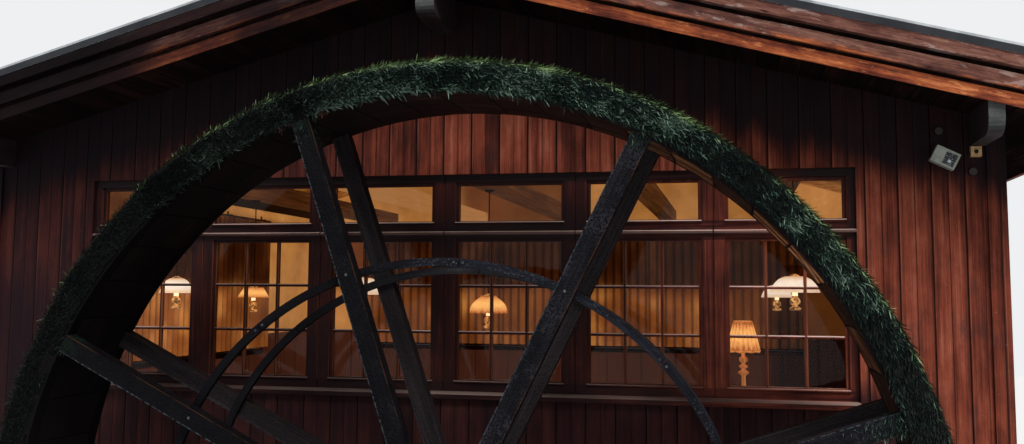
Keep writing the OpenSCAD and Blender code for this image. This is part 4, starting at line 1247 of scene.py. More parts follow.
def strand_tree():
    """Strews blades over a surface, more and longer where its cover is thick, combed one way round."""
    t = Tree("strands", Blade="Object", Density="Float", Lean="Float", Comb="Float", Stray="Float",
             Least="Float", Most="Float", Drape="Vector", Seed="Int")

    def vectors(operation, first, second):
        key = "Scale" if operation == "SCALE" else 1
        return t.node("ShaderNodeVectorMath", {"operation": operation}, {0: first, key: second})

    def own(name):
        return t.node("GeometryNodeInputNamedAttribute", {"data_type": "FLOAT"}, {"Name": name}, "Attribute")

    def chance(kind, least, most, seed, output):
        first = 0 if kind == "FLOAT_VECTOR" else 2
        sockets = {first: least, first + 1: most, "Seed": seed}
        return t.node("FunctionNodeRandomValue", {"data_type": kind}, sockets, output)

    cover = t.math("MAXIMUM", own("cover"), 0.0)
    sockets = {"Mesh": t.size("Geometry"), "Density": t.size("Density") * cover, "Seed": t.size("Seed")}
    spread = t.node("GeometryNodeDistributePointsOnFaces", {"distribute_method": "RANDOM"}, sockets)
    normal = Value(t, spread.socket.node.outputs["Normal"])
    away = vectors("SUBTRACT", t.node("GeometryNodeInputPosition"), tuple(HUB))
    along_rim = vectors("NORMALIZE", vectors("CROSS_PRODUCT", (0, 1, 0), away), (0, 0, 0))
    stray = chance("FLOAT_VECTOR", (-1, -1, -1), (1, 1, 1), t.size("Seed"), 0)
    course = vectors("SCALE", along_rim, t.size("Comb"))
    course = vectors("ADD", course, vectors("SCALE", stray, t.size("Stray")))
    course = vectors("ADD", course, vectors("SCALE", normal, t.size("Lean")))
    course = vectors("ADD", course, t.size("Drape"))
    aim = t.node("FunctionNodeAlignRotationToVector", {"axis": "X"}, {"Vector": course})
    aim = t.node("FunctionNodeAlignRotationToVector", {"axis": "Z", "pivot_axis": "X"},
                 {"Rotation": aim, "Vector": normal})
    length = chance("FLOAT", t.size("Least"), t.size("Most"), t.size("Seed"), 1)
    blade = t.node("GeometryNodeObjectInfo", sockets={0: t.size("Blade")}, output="Geometry")
    placed = t.copies(spread, blade, Rotation=aim, Scale=length * (cover * 0.5 + 0.5))
    luck = chance("FLOAT", 0.0, 1.0, 3, 1)
    tone = own("green") + luck * luck * luck * 0.95 - 0.11
    return t.end(t.node("GeometryNodeStoreNamedAttribute", {"data_type": "FLOAT", "domain": "INSTANCE"},
                        {0: placed, "Name": "tone", "Value": tone}))


ROW = row_tree()
WHEEL = wheel_tree()
GROOVES = groove_tree()
STRANDS = strand_tree()


def round_axle(name, base, count, first, finish):
    """The mesh repeated evenly round the axle."""
    return WHEEL.run(name, base, finish, Count=count, First=first, Turn=math.tau / count, Hub=tuple(HUB))


def in_row(name, base, count, step, finish):
    return ROW.run(name, base, finish, Count=count, Step=step)


def joined(name, meshes):
    """Several meshes as one, keeping their materials and values."""
    objects = [scene_object(name, mesh) for mesh in meshes]
    with bpy.context.temp_override(active_object=objects[0], selected_editable_objects=objects,
                                   selected_objects=objects):
        bpy.ops.object.join()
    mesh = objects[0].data
    bpy.data.objects.remove(objects[0])
    mesh.name = name
    return mesh


# House


def groove_cutter(axis, outward, face, width, depth, low, high):
    """A three-sided prism that stands upright on one wall face."""
    def build(bm):
        proud = face + outward * 0.002
        outline = [(-width / 2, proud), (width / 2, proud), (0.0, face - outward * depth)]
        if axis == "Y":
            outline = [(b, a) for a, b in outline]
        add_prism(bm, outline, "Z", low, high)

    return scene_object("cutter", mesh_of(build, "cutter"))


def cut_grooves(mesh, axis, outward, face, low, high):
    """Board joints and the fainter groove midway on each board, clear of the corner boards."""
    first, middle, half = (BOARD_FIRST, 0, HALF_W) if axis == "X" else (MID_Y, MID_Y, HALF_D)
    limit = half - CORNER_BOARD_W
    lowest = math.ceil((middle - limit - first) / BOARD_W)
    highest = math.floor((middle + limit - first) / BOARD_W)
    along = Vector((1, 0, 0) if axis == "X" else (0, 1, 0))
    for offset, width, depth in GROOVES_CUT:
        cutter = groove_cutter(axis, outward, face, width, depth, low, high)
        cutter.data.transform(Matrix.Translation(along * (first + (lowest + offset) * BOARD_W)))
        count = highest - lowest + (1 if offset == 0 else 0)
        mesh = GROOVES.run(mesh.name, mesh, "boards_" + axis.lower(), Count=count,
                           Step=tuple(along * BOARD_W), Cutter=cutter)
        bpy.data.objects.remove(cutter)
    return mesh


def make_walls():
    """The walls with V-grooves between their boards, cut into the frame's own wall solids."""
    low, high = WALL_Z - 0.1, WALL_HI.z + 0.1
    for side, axis, outward, face in (("front", "X", -1, FRONT), ("rear", "X", 1, BACK),
                                      ("left", "Y", -1, -HALF_W), ("right", "Y", 1, HALF_W)):
        mesh = cut_grooves(merged_copy(side + "_wall"), axis, outward, face, low, high)
        add_piece(side + "_boards", mesh, "house", "red_boards", (side + "_wall",))


def bar_unit(bm):
    """The glazing bars of one unit's lower light, at the front wall's face."""
    y0, y1 = FRONT + SASH_Y + 0.006, FRONT + SASH_Y + 0.042
    chamfer, half = 0.006, BAR_W / 2
    profile = [(-half, y0 + chamfer), (-half + chamfer, y0), (half - chamfer, y0), (half, y0 + chamfer),
               (half, y1), (-half, y1)]
    for x in BAR_ACROSS:
        add_prism(bm, [(x + a, b) for a, b in profile], "Z", *LOW_GLASS)
    for z in BAR_HEIGHTS:
        add_prism(bm, [(b, z + a) for a, b in profile], "X", -GLASS_W / 2, GLASS_W / 2)


def on_wall(mesh, turn, reach):
    """Turns a mesh made for the front wall to another wall."""
    to_centre = Matrix.Translation((0, -FRONT - reach, 0))
    spin = Matrix.Rotation(math.radians(turn), 4, "Z")
    mesh.transform(Matrix.Translation((0, MID_Y, 0)) @ spin @ to_centre)
    return mesh


def make_bars():
    """Glazing bars in every window strip: one unit's bars, repeated along the strip."""
    for side, turn in (("front", 0), ("rear", 180), ("left", 270), ("right", 90)):
        gable = side in ("front", "rear")
        units, reach = (GABLE_UNITS, HALF_D) if gable else (SIDE_UNITS, HALF_W)
        finish = "window_x" if gable else "window_y"
        base = mesh_of(bar_unit, side + "_bars")
        base.transform(Matrix.Translation(((1 - units) * UNIT_W / 2, 0, 0)))
        row = in_row(side + "_bars", base, units, (UNIT_W, 0, 0), finish)
        add_piece(side + "_glazing_bars", on_wall(row, turn, reach), "house", "window_timber")


def course_heights(rng, height):
    """Levels of the stones' courses, from the ground up."""
    levels = [0.0]
    while levels[-1] < height - 0.36:
        levels.append(levels[-1] + rng.uniform(0.17, 0.31))
    levels.append(height)
    return levels


def stone_rows(rng, levels, start, stop, holes):
    """Stones of one elevation as (left, right, bottom, top)."""
    for low, high in zip(levels, levels[1:]):
        spans = [(start, stop)]
        for left, right, bottom, top in holes:
            if low < top - 0.01 and high > bottom + 0.01:
                beside = [part for a, b in spans for part in ((a, min(b, left)), (max(a, right), b))]
                spans = [(a, b) for a, b in beside if b - a > 0.05]
        for a, b in spans:
            count = max(1, round((b - a) / rng.uniform(0.34, 0.46)))
            inner = sorted(a + (b - a) * (i + rng.uniform(-0.28, 0.28)) / count for i in range(1, count))
            cuts = [a, *inner, b]
            for left, right in zip(cuts, cuts[1:]):
                yield left, right, low, high


def add_stone(bm, rng, layer, span, place):
    """One stone: a worn block with a slightly domed face."""
    left, right, low, high = span
    tone = rng.random()
    set_back = rng.uniform(0.0, 0.008)
    corner = min(0.045, (right - left) / 4, (high - low) / 4) * rng.uniform(0.7, 1.0)
    x0, x1, z0, z1 = left + STONE_GAP, right - STONE_GAP, low + STONE_GAP, high - STONE_GAP
    outline = [(x0 + corner, z0), (x1 - corner, z0), (x1, z0 + corner), (x1, z1 - corner),
               (x1 - corner, z1), (x0 + corner, z1), (x0, z1 - corner), (x0, z0 + corner)]
    outline = [(x + rng.uniform(-0.006, 0.006), z + rng.uniform(-0.006, 0.006)) for x, z in outline]
    cx, cz = (x0 + x1) / 2, (z0 + z1) / 2
    rings = []
    for shrink, depth in ((1.0, 0.055), (1.0, set_back + 0.016), (0.90, set_back + 0.004)):
        rings.append([bm.verts.new(place(cx + (x - cx) * shrink, cz + (z - cz) * shrink,
                                         depth + rng.uniform(0, 0.003))) for x, z in outline])
    middle = bm.verts.new(place(cx + rng.uniform(-0.03, 0.03), cz, set_back))
    for vert in (*rings[0], *rings[1], *rings[2], middle):
        vert[layer] = tone
    bridge(bm, rings[0], rings[1])
    bridge(bm, rings[1], rings[2])
    for first, second in zip(rings[2], rings[2][1:] + rings[2][:1]):
        bm.faces.new((first, second, middle))
    bm.faces.new(rings[0][::-1])


def stones_mesh(name, seed, faces):
    """Stones on several faces. Each face gives its levels, its span, its holes and where its points lie."""
    def build(bm):
        layer = bm.verts.layers.float.new("tone")
        for number, (levels, start, stop, holes, place) in enumerate(faces):
            rng = random.Random(seed * 31 + number)
            for span in stone_rows(rng, levels, start, stop, holes):
                add_stone(bm, rng, layer, span, place)

    return mesh_of(build, name, "stone")


def mortar_core(node, lo_in, hi_in):
    """A CAD masonry solid drawn back behind its stones on the sides given."""
    mesh = merged_copy(node)
    lo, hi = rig.box(node)
    near = 0.001
    for v in mesh.vertices:
        for i in range(3):
            if lo_in[i] and v.co[i] < lo[i] + near:
                v.co[i] += lo_in[i]
            if hi_in[i] and v.co[i] > hi[i] - near:
                v.co[i] -= hi_in[i]
    return dress(mesh, "mortar")


def wall_face(axis, at, inward):
    """Where the points of an upright face lie, from places along it, up it and in from it."""
    def place(along, z, depth):
        out = at + inward * depth
        return (along, out, z) if axis == "X" else (out, along, z)
    return place


def make_masonry():
    """The four base walls: single stones over a mortar core, clear of the niche and the doorway."""
    back = MORTAR_BACK
    levels = course_heights(random.Random(SEED), BASE_TOP)
    front_lo, front_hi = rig.box("base_front")
    rear_lo, rear_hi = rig.box("base_rear")
    side_lo, side_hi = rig.box("base_right")
    door_lo, door_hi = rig.box("base_door")
    end = front_hi.x
    niche = (HUB.x - 0.38, HUB.x + 0.38, HUB.z - 0.2, BASE_TOP)
    door = (door_lo.x, door_hi.x, 0.0, door_hi.z)
    right, left = wall_face("Y", end, -1), wall_face("Y", -end, 1)
    fronts = [(levels, -end, end, [niche], wall_face("X", front_lo.y, 1))]
    rears = [(levels, -end, end, [door], wall_face("X", rear_hi.y, -1))]
    for place in (right, left):
        fronts.append((levels, front_lo.y, front_hi.y, [], place))
        rears.append((levels, rear_lo.y, rear_hi.y, [], place))
    rights, lefts = ([(levels, side_lo.y, side_hi.y, [], place)] for place in (right, left))
    for seed, (side, faces, lo_in, hi_in) in enumerate((
            ("front", fronts, (back, back, 0), (back, 0, 0)), ("rear", rears, (back, 0, 0), (back, back, 0)),
            ("right", rights, (0, 0, 0), (back, 0, 0)), ("left", lefts, (back, 0, 0), (0, 0, 0))), 1):
        node = "base_" + side
        stones = stones_mesh(node + "_stones", SEED + seed, faces)
        mesh = joined(node, [stones, mortar_core(node, lo_in, hi_in)])
        add_piece("masonry_" + side, mesh, "house", "stone", (node,))


def make_pier():
    """The pier in front of the wheel: stones that follow its batter, and a dressed cap."""
    lo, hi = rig.box("outer_pier")
    under = hi.z - 0.13
    foot, neck, lip, back = 0.56, 0.42, 0.03, MORTAR_BACK
    levels = course_heights(random.Random(SEED + 5), under)
    front, rear = lo.y + lip, hi.y - lip

    def half(z):
        return foot + (neck - foot) * z / under

    def broad(at, inward):
        return lambda x, z, depth: (HUB.x + x * half(z) / foot, at + inward * depth, z)

    def narrow(side):
        return lambda y, z, depth: (HUB.x + side * (half(z) - depth), y, z)

    def core(bm):
        outline = [(HUB.x - foot + back, 0.0), (HUB.x + foot - back, 0.0), (HUB.x + neck - back, under),
                   (HUB.x - neck + back, under)]
        add_prism(bm, outline, "Y", front + back, rear - back)

    def cap(bm):
        add_box(bm, (lo.x + foot - 0.45, lo.y, under), (hi.x - foot + 0.45, hi.y, hi.z), 0.012)

    faces = [(levels, -foot, foot, [], place) for place in (broad(front, 1), broad(rear, -1))]
    faces += [(levels, front, rear, [], place) for place in (narrow(1), narrow(-1))]
    stones = stones_mesh("pier_stones", SEED + 6, faces)
    mesh = joined("pier_masonry", [stones, mesh_of(core, "pier_core", "mortar")])
    add_piece("pier_masonry", mesh, "house", "stone", ("outer_pier",))
    cap_mesh = mesh_of(cap, "pier_cap", "stone")
    store(cap_mesh, "tone", [0.75] * len(cap_mesh.vertices))
    add_piece("pier_cap", cap_mesh, "house", "stone")


def spaced(start, stop, parts):
    """Values at equal steps from start to stop."""
    return [start + (stop - start) * i / parts for i in range(parts + 1)]


def make_door():
    """Boards, strap hinges and a ring handle on the leaf of the rear door."""
    lo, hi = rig.box("base_door")
    middle, leaf = (lo.x + hi.x) / 2, hi.y - DOOR_STEP
    width, height = DOOR_LEAF
    pitch = width / DOOR_BOARDS
    face = leaf + 0.017

    def boards(bm):
        for i in range(DOOR_BOARDS):
            left = middle - width / 2 + i * pitch
            add_box(bm, (left + 0.002, leaf, 0.012), (left + pitch - 0.002, face, height - 0.004), 0.003)

    def irons(bm):
        hinge = middle + width / 2
        for z in (0.36, 1.66):
            outline = [(hinge - 0.004, z - 0.026), (hinge - 0.004, z + 0.026), (hinge - 0.56, z + 0.013),
                       (hinge - 0.60, z), (hinge - 0.56, z - 0.013)]
            add_prism(bm, outline, "Y", face, face + 0.005)
            for dx in (0.05, 0.20, 0.35, 0.50):
                x = hinge - dx
                add_box(bm, (x - 0.007, face + 0.005, z - 0.007), (x + 0.007, face + 0.009, z + 0.007), 0.002)
        x, z = middle - width / 2 + 0.09, 1.02
        add_box(bm, (x - 0.025, face, z - 0.09), (x + 0.025, face + 0.004, z + 0.06), 0.0015)
        outer, inner = (circle(x, z - 0.034, radius, 24) for radius in (0.034, 0.026))
        for i in range(24):
            j = (i + 1) % 24
            add_prism(bm, [outer[i], outer[j], inner[j], inner[i]], "Y", face + 0.004, face + 0.011)
        bmesh.ops.remove_doubles(bm, verts=bm.verts, dist=1e-6)

    add_piece("door_boards", mesh_of(boards, "door_boards", "window_x"), "house", "window_timber")
    add_piece("door_irons", mesh_of(irons, "door_irons", "iron"), "house", "iron")


def make_bearing_bolts():
    """Four bolts through the foot of each bearing: a washer, a six-sided nut and the bolt's end."""
    layers = ((0.024, 12, 0.0, 0.004), (0.017, 6, 0.004, 0.018), (0.009, 12, 0.018, 0.028))

    def build(bm):
        for node in ("outer_bearing", "wall_bearing"):
            lo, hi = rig.box(node)
            y, foot = (lo.y + hi.y) / 2, lo.z + 0.036
            for dx in (-0.182, 0.182):
                for dy in (-0.045, 0.045):
                    for radius, sides, low, high in layers:
                        add_prism(bm, circle(HUB.x + dx, y + dy, radius, sides), "Z", foot + low, foot + high)

    add_piece("bearing_bolts", mesh_of(build, "bearing_bolts", "iron"), "house", "iron")


def make_roof():
    """Standing seams down both slopes, spaced evenly about the middle of the roof."""
    lo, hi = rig.box("roof_sheet_right")
    count = int((hi.y - lo.y - 0.3) / SEAM_PITCH) + 1
    first_y = (lo.y + hi.y) / 2 - (count - 1) * SEAM_PITCH / 2
    top, foot = 0.165, hi.x - 0.004
    profile = ((top, 0.0), (foot, 0.0), (foot, 0.012), (foot - 0.02, SEAM_H), (top, SEAM_H))
    for side, sign in (("left", -1), ("right", 1)):
        def seam(bm):
            line = [(sign * x, RIDGE_Z - 0.008 - SLOPE * x + rise) for x, rise in profile]
            add_prism(bm, line, "Y", first_y - SEAM_W / 2, first_y + SEAM_W / 2)

        name = side + "_roof_seams"
        seams = in_row(name, mesh_of(seam, side + "_seam"), count, (0, SEAM_PITCH, 0), "roof_metal")
        add_piece(name, seams, "house", "roof_metal")


def add_turned(bm, at, outline, finish, steps=20, pleats=0, pleat=0.0, hem=0.0, lit=None, shell=False):
    """A turned shape about an upright axis. The outline is (radius, height) points; a shell's is closed."""
    layer = bm.verts.layers.float.get("lit") or bm.verts.layers.float.new("lit")
    steps = max(steps, pleats * 4)
    low, high = min(z for r, z in outline), max(z for r, z in outline)
    rings = []
    for radius, height in outline:
        part = (height - low) / (high - low)
        bright = 4 * part * (1 - part) if lit is None else lit
        ring = []
        for s in range(steps):
            a = math.tau * s / steps
            r = radius + pleat * math.cos(a * pleats)
            z = height - hem * abs(math.sin(a * pleats / 4)) * (1 - part) ** 4
            vert = bm.verts.new((at[0] + r * math.cos(a), at[1] + r * math.sin(a), at[2] + z))
            vert[layer] = bright - 60 * pleat * (0.5 - 0.5 * math.cos(a * pleats))
            ring.append(vert)
        rings.append(ring)
    faces = []
    for first, second in zip(rings, rings[1:] + rings[:1] if shell else rings[1:]):
        faces += bridge(bm, first, second)
    if not shell:
        faces += [bm.faces.new(rings[0][::-1]), bm.faces.new(rings[-1])]
    for face in faces:
        face.material_index = LAMP_FINISHES.index(finish)


def add_shell(bm, at, outline, finish, thick=0.004, **looks):
    """An open shade: its outline, and the same outline drawn in and turned back down."""
    bottom = outline[0][1]
    inner = [(max(r - thick, 0.008), z - thick * (z > bottom + 0.01)) for r, z in outline]
    add_turned(bm, at, outline + inner[::-1], finish, shell=True, **looks)


def curve_through(points, parts):
    """More points on a smooth line through the given ones."""
    padded = [points[0], *points, points[-1]]
    line = []
    for a, b, c, d in zip(padded, padded[1:], padded[2:], padded[3:]):
        for i in range(parts):
            t = i / parts
            line.append(tuple(0.5 * (2 * q + (r - o) * t + (2 * o - 5 * q + 4 * r - s) * t * t
                                     + (3 * q - o - 3 * r + s) * t ** 3) for o, q, r, s in zip(a, b, c, d)))
    return line + [tuple(points[-1])]


def add_hanging_lamp(bm, lamp, top):
    """Shade with a rolled rim, oil holder and chimney, rod and ceiling rose."""
    x, y, rim, radius, height, kind = lamp
    at = (x, y + FRONT, rim)
    outline = curve_through([(r * radius, z * height) for r, z in SHADES[kind]], 3)
    if kind == "bell":
        add_shell(bm, at, outline, "pleats", pleats=36, pleat=0.0016, hem=0.010)
    else:
        add_shell(bm, at, outline, "opal" if kind == "dome" else "pleats", steps=40)
    if kind == "dome":
        roll = [(radius - 0.001, -0.004), (radius + 0.003, -0.002), (radius + 0.003, 0.003),
                (radius - 0.001, 0.005)]
        add_turned(bm, at, roll, "opal", steps=40, lit=0.5)
    neck, drop = height - 0.006, top - rim
    chimney = [(0.021, -0.030), (0.021, height * 0.45), (0.013, neck)]
    cap = [(0.045, neck), (0.040, neck + 0.012), (0.012, neck + 0.026)]
    rose = [(0.010, drop - 0.024), (0.030, drop - 0.020), (0.044, drop - 0.008), (0.044, drop)]
    add_turned(bm, at, curve_through(OIL_HOLDER, 2), "brass")
    add_turned(bm, at, chimney, "chimney", steps=16, lit=1.0)
    add_turned(bm, at, cap, "brass")
    add_turned(bm, at, [(0.006, height), (0.006, drop - 0.024)], "lamp_rod", steps=8)
    add_turned(bm, at, rose, "lamp_rod")


def make_lamps():
    """The room's lamps in place of their plain bodies."""
    def build(bm):
        for lamp in HANGING_LAMPS:
            add_hanging_lamp(bm, lamp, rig.box("tie_beams")[0].z)
        x, y, rim, height, wide, narrow = STANDING_LAMP
        floor = (x, y + FRONT, FLOOR_Z)
        add_turned(bm, floor, curve_through(TURNED_POST, 2), "lamp_wood", steps=24)
        shade = [(wide + (narrow - wide) * i / 8, rim + height * i / 8) for i in range(9)]
        add_shell(bm, floor, shade, "pleats", steps=108, pleats=18, pleat=0.0062, hem=0.014)
        for level, radius in ((rim + height, narrow), (rim, wide)):
            band = [(radius - 0.001, level - 0.006), (radius + 0.003, level - 0.005),
                    (radius + 0.003, level + 0.004), (radius - 0.002, level + 0.006)]
            add_turned(bm, floor, band, "pleats", steps=48, lit=0.3)

    add_piece("lamps", mesh_of(build, "lamps", *LAMP_FINISHES), "house", "lamp_shade", ("room_lamps",))


def curtain_mesh(name, lo, hi, along, rng):
    """A gathered sheet between two corners of its CAD body, and its flat width."""
    width = hi[along] - lo[along]
    deep = 1 - along
    middle, reach = (lo[deep] + hi[deep]) / 2, (hi[deep] - lo[deep]) / 2 - 0.004
    folds = max(3, round(width / 0.105))
    steps, rows = folds * 12, 14
    phase = rng.uniform(0, math.tau)
    to_room = -1 if middle > (MID_Y if along == 0 else 0.0) else 1
    points, turned = [], []
    for r in range(rows + 1):
        down = r / rows
        for s in range(steps + 1):
            t = s / steps
            wave = math.sin(math.tau * folds * t + phase + 0.5 * math.sin(5 * t + phase))
            spread = reach * (0.62 + 0.38 * down) * (0.85 + 0.15 * math.sin(9 * t + 3 * down))
            point = [0.0, 0.0, hi.z - (hi.z - lo.z) * down]
            point[along] = lo[along] - CURTAIN_LAP + (width + 2 * CURTAIN_LAP) * t
            point[deep] = middle + spread * wave
            points.append(point)
            turned.append(wave * to_room)
    row = steps + 1
    corners = [r * row + s for r in range(rows) for s in range(steps)]
    mesh = dress(mesh_from(name, points, [(i, i + 1, i + row + 1, i + row) for i in corners]), "curtain")
    store(mesh, "fold", turned)
    return mesh, sum(p.area for p in mesh.polygons) / (hi.z - lo.z)


def solid_boxes(node):
    """The boxes of a CAD node's separate solids, from left to right and front to back."""
    bm = bmesh.new()
    bm.from_mesh(merged_copy(node))
    left, boxes = set(bm.verts), []
    while left:
        stack, group = [left.pop()], []
        while stack:
            vert = stack.pop()
            group.append(vert.co.copy())
            near = {edge.other_vert(vert) for edge in vert.link_edges} & left
            left -= near
            stack += near
        boxes.append((Vector(map(min, *group)), Vector(map(max, *group))))
    bm.free()
    return sorted(boxes, key=lambda b: (round(b[0].y, 3), round(b[0].x, 3)))


def make_curtains():
    """A gathered curtain in place of each of the curtains' plain bodies."""
    rng = random.Random(SEED)
    for i, (lo, hi) in enumerate(solid_boxes("curtains")):
        along = 0 if hi.x - lo.x > hi.y - lo.y else 1
        name = "curtain_%02d" % (i + 1)
        mesh, flat = curtain_mesh(name, lo, hi, along, rng)
        obj = add_piece(name, mesh, "house", "curtain_cloth", ("curtains",) if i == 0 else ())
        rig.sheet(obj, flat=(flat, hi.z - lo.z), held="gathered", rests_on=["curtain_rods"])


# Wheel


def arc_block(bm, r0, r1, y0, y1, a0, a1, steps):
    """Part of a ring about the axle, at the origin, between two angles from up."""
    rings = []
    for i in range(steps + 1):
        a = a0 + (a1 - a0) * i / steps
        s, c = math.sin(a), math.cos(a)
        rings.append([bm.verts.new((r * s, y, r * c)) for r, y in ((r0, y0), (r1, y0), (r1, y1), (r0, y1))])
    for first, second in zip(rings, rings[1:]):
        bridge(bm, first, second)
    bm.faces.new(rings[0])
    bm.faces.new(rings[-1][::-1])


def make_sole():
    """Short curved planks between the shrouds, one row to a bucket, with open cross joints."""
    y0, y1 = RIM_FRONT + SHROUD_T - HUB.y, RIM_REAR - SHROUD_T - HUB.y
    turn, edge, seam = math.tau / BUCKET_COUNT, SOLE_GAP / SHROUD_IN, SOLE_GAP / 3
    width = (y1 - y0) / SOLE_ROWS

    def build(bm):
        for i in range(SOLE_ROWS):
            left, lift = y0 + i * width, 0.0015 * ((i * 7) % 3)
            arc_block(bm, SHROUD_IN + lift, SOLE_OUT, left + seam, left + width - seam, edge, turn - edge, 2)

    mesh = round_axle("sole_boards", mesh_of(build, "sole_board"), BUCKET_COUNT, 0.0, "sole")
    add_piece("sole_boards", mesh, "wheel", "wet_timber", ("sole",))


def ring_swell(angle):
    """How far the rings stand out of round at an angle from up."""
    return RING_OVAL * math.sin(angle - RING_OVAL_TURN) ** 2


def ring_segments(name, outer, y0):
    """One ring of curved timbers that meet halfway between the arms."""
    def build(bm):
        for k in range(ARM_COUNT):
            first = ARM_TURN + (k - 0.5) * ARM_STEP
            arc_block(bm, outer - RING_W, outer, y0, y0 + RING_T, first + RING_GAP,
                      first + ARM_STEP - RING_GAP, 24)
        for vert in bm.verts:
            angle = math.atan2(vert.co.x, vert.co.z)
            swell = ring_swell(angle)
            vert.co += Vector((swell * math.sin(angle), 0, swell * math.cos(angle)))
        bmesh.ops.translate(bm, verts=bm.verts, vec=HUB)

    return mesh_of(build, name, name)


def make_rings():
    """The inner ring on each set of arms, and the bolts through the front ring's joints."""
    lo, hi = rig.box("inner_rings")
    front_y = lo.y - HUB.y
    front = ring_segments("front_ring", RING_FRONT_OUT, front_y)
    rear = ring_segments("rear_ring", RING_REAR_OUT, hi.y - RING_T - HUB.y)
    add_piece("ring_timbers", joined("ring_timbers", [front, rear]), "wheel", "wet_timber", ("inner_rings",))

    def bolts(bm):
        for k in range(ARM_COUNT):
            for turn in (-0.016, 0.016):
                angle = ARM_TURN + (k - 0.5) * ARM_STEP + turn
                reach = RING_FRONT_OUT + ring_swell(angle) - RING_W / 2
                add_bolt(bm, reach * math.sin(angle), front_y, reach * math.cos(angle), 0.010, 0.006)
        bmesh.ops.translate(bm, verts=bm.verts, vec=HUB)

    add_piece("ring_bolts", mesh_of(bolts, "ring_bolts", "zinc"), "wheel", "iron")


def add_bolt(bm, x, y, z, across, height):
    """A six-sided head on a round washer, facing the front, proud of the plane y."""
    seat = y - height * 0.25
    add_prism(bm, circle(x, z, across * 0.85, 12), "Y", seat, y)
    add_prism(bm, circle(x, z, across * 0.55, 6), "Y", y - height, seat)


def make_bolts():
    """Bolt heads where the rings cross the arms, round the hub and on the rear shroud."""
    def arm_bolts(name, face, ring_bolt, others, radii):
        def build(bm):
            add_bolt(bm, 0.0, face, RING_MID, *ring_bolt)
            for radius in radii:
                add_bolt(bm, 0.0, face, radius, *others)

        return mesh_of(build, name)

    front = arm_bolts("front_bolts", RIM_FRONT - HUB.y, (0.012, 0.008), (0.026, 0.016), (0.30, 0.42))
    rear = arm_bolts("rear_bolts", HUB.y - RIM_REAR, (0.017, 0.010), (0.022, 0.014),
                     (0.30, 0.42, SHROUD_IN + 0.035, SHROUD_IN + 0.095))
    rear.transform(Matrix.Rotation(math.pi, 4, "Z"))
    sets = [round_axle(mesh.name, mesh, ARM_COUNT, ARM_TURN, "zinc") for mesh in (front, rear)]
    add_piece("arm_bolts", joined("arm_bolts", sets), "wheel", "iron")


def blade_object(name, length, width, bend):
    """One leaf-like blade along X, curled away from Z, with its place along it stored."""
    root, waist = width * 0.3, width * 0.39375
    points = [(0, -root, 0), (0, root, 0), (length / 2, -waist, bend * length / 4),
              (length / 2, waist, bend * length / 4), (length, 0, bend * length)]
    mesh = mesh_from(name, points, [(0, 2, 3, 1), (2, 4, 3)])
    store(mesh, "along", [0, 0, 0.5, 0.5, 1])
    return scene_object(name, mesh)


def smooth(value, low, high):
    """0 below low and 1 above high, smooth between them."""
    t = min(1.0, max(0.0, (value - low) / (high - low)))
    return t * t * (3 - 2 * t)


def on_rim(radius, angle, y):
    """The place at a distance from the axle and an angle clockwise from up."""
    return Vector((HUB.x + radius * math.sin(angle), y, HUB.z + radius * math.cos(angle)))


def growth(place):
    """How thickly moss grows at a place on the rim, up to about 1, and how green it is there, with painted shade and a
    painted highlight in the green.
    """
    dx, dz = place.x - HUB.x, place.z - HUB.z
    angle, radius = math.atan2(dx, dz), math.hypot(dx, dz)
    turned = math.degrees(angle)

    def between(start, full, fading, end):
        """1 on the arc from full to fading, 0 outside the arc from start to end."""
        return smooth(turned, start, full) * (1 - smooth(turned, fading, end))

    worn = between(-88, -76, -44.5, -42.5)
    patch = noise.fractal(place * 3.2, 1.0, 2.0, 4)
    cover = 0.95 + 0.30 * patch - worn * (0.80 - 0.45 * smooth(radius, 3.00, 3.09))
    cover -= between(12, 30, 62, 70) * (1 - smooth(radius, SHROUD_IN + 0.020, SHROUD_IN + 0.050))
    clump = max(0.0, noise.noise(place * 6.5) - 0.05)
    # Painted shade on the moss at both sides of the wheel, and a painted highlight on the rim's outer edge.
    shade = 0.34 * (1 - smooth(turned, -52, -10)) + 0.32 * smooth(turned, 18, 50)
    edge = (0.26 + 0.16 * between(-44, -38, -24, -16)) * smooth(radius, 3.10, 3.135)
    lip = 0.20 * (1 - smooth(radius, 2.955, 2.99)) * between(-46, -40, 8, 20)
    tuft = 0.22 * sum(math.exp(-((turned - at) / wide) ** 2) for at, wide in MOSS_TUFTS)
    green = 0.18 - shade + edge + lip + tuft + 0.55 * noise.noise(place * 2.3) + 1.05 * clump
    green += 0.17 * between(-10, -3, 26, 38) - 0.10 * worn + 0.45 * (1 - smooth(turned, -94, -87))
    if abs(angle - ARM_TURN) * radius < ARM_W / 2 and radius < ARM_END:
        cover = -1.0
    return cover + tuft * 0.8, green


def grown_surface(name, rows, outward, grows, closed=False):
    """A surface through rows of points that face one way, with the cover and the green of each point."""
    width, count = len(rows[0]), len(rows)
    faces = []
    for r in range(count if closed else count - 1):
        first, second = r * width, (r + 1) % count * width
        faces += [(first + i, first + i + 1, second + i + 1, second + i) for i in range(width - 1)]
    places = [place for row in rows for place in row]
    mesh = mesh_from(name, places, faces)
    if mesh.polygons[0].normal.dot(outward) < 0:
        mesh.flip_normals()
    grown = [grows(place) for place in places]
    for column, label in enumerate(("cover", "green")):
        store(mesh, label, [g[column] for g in grown])
    return mesh


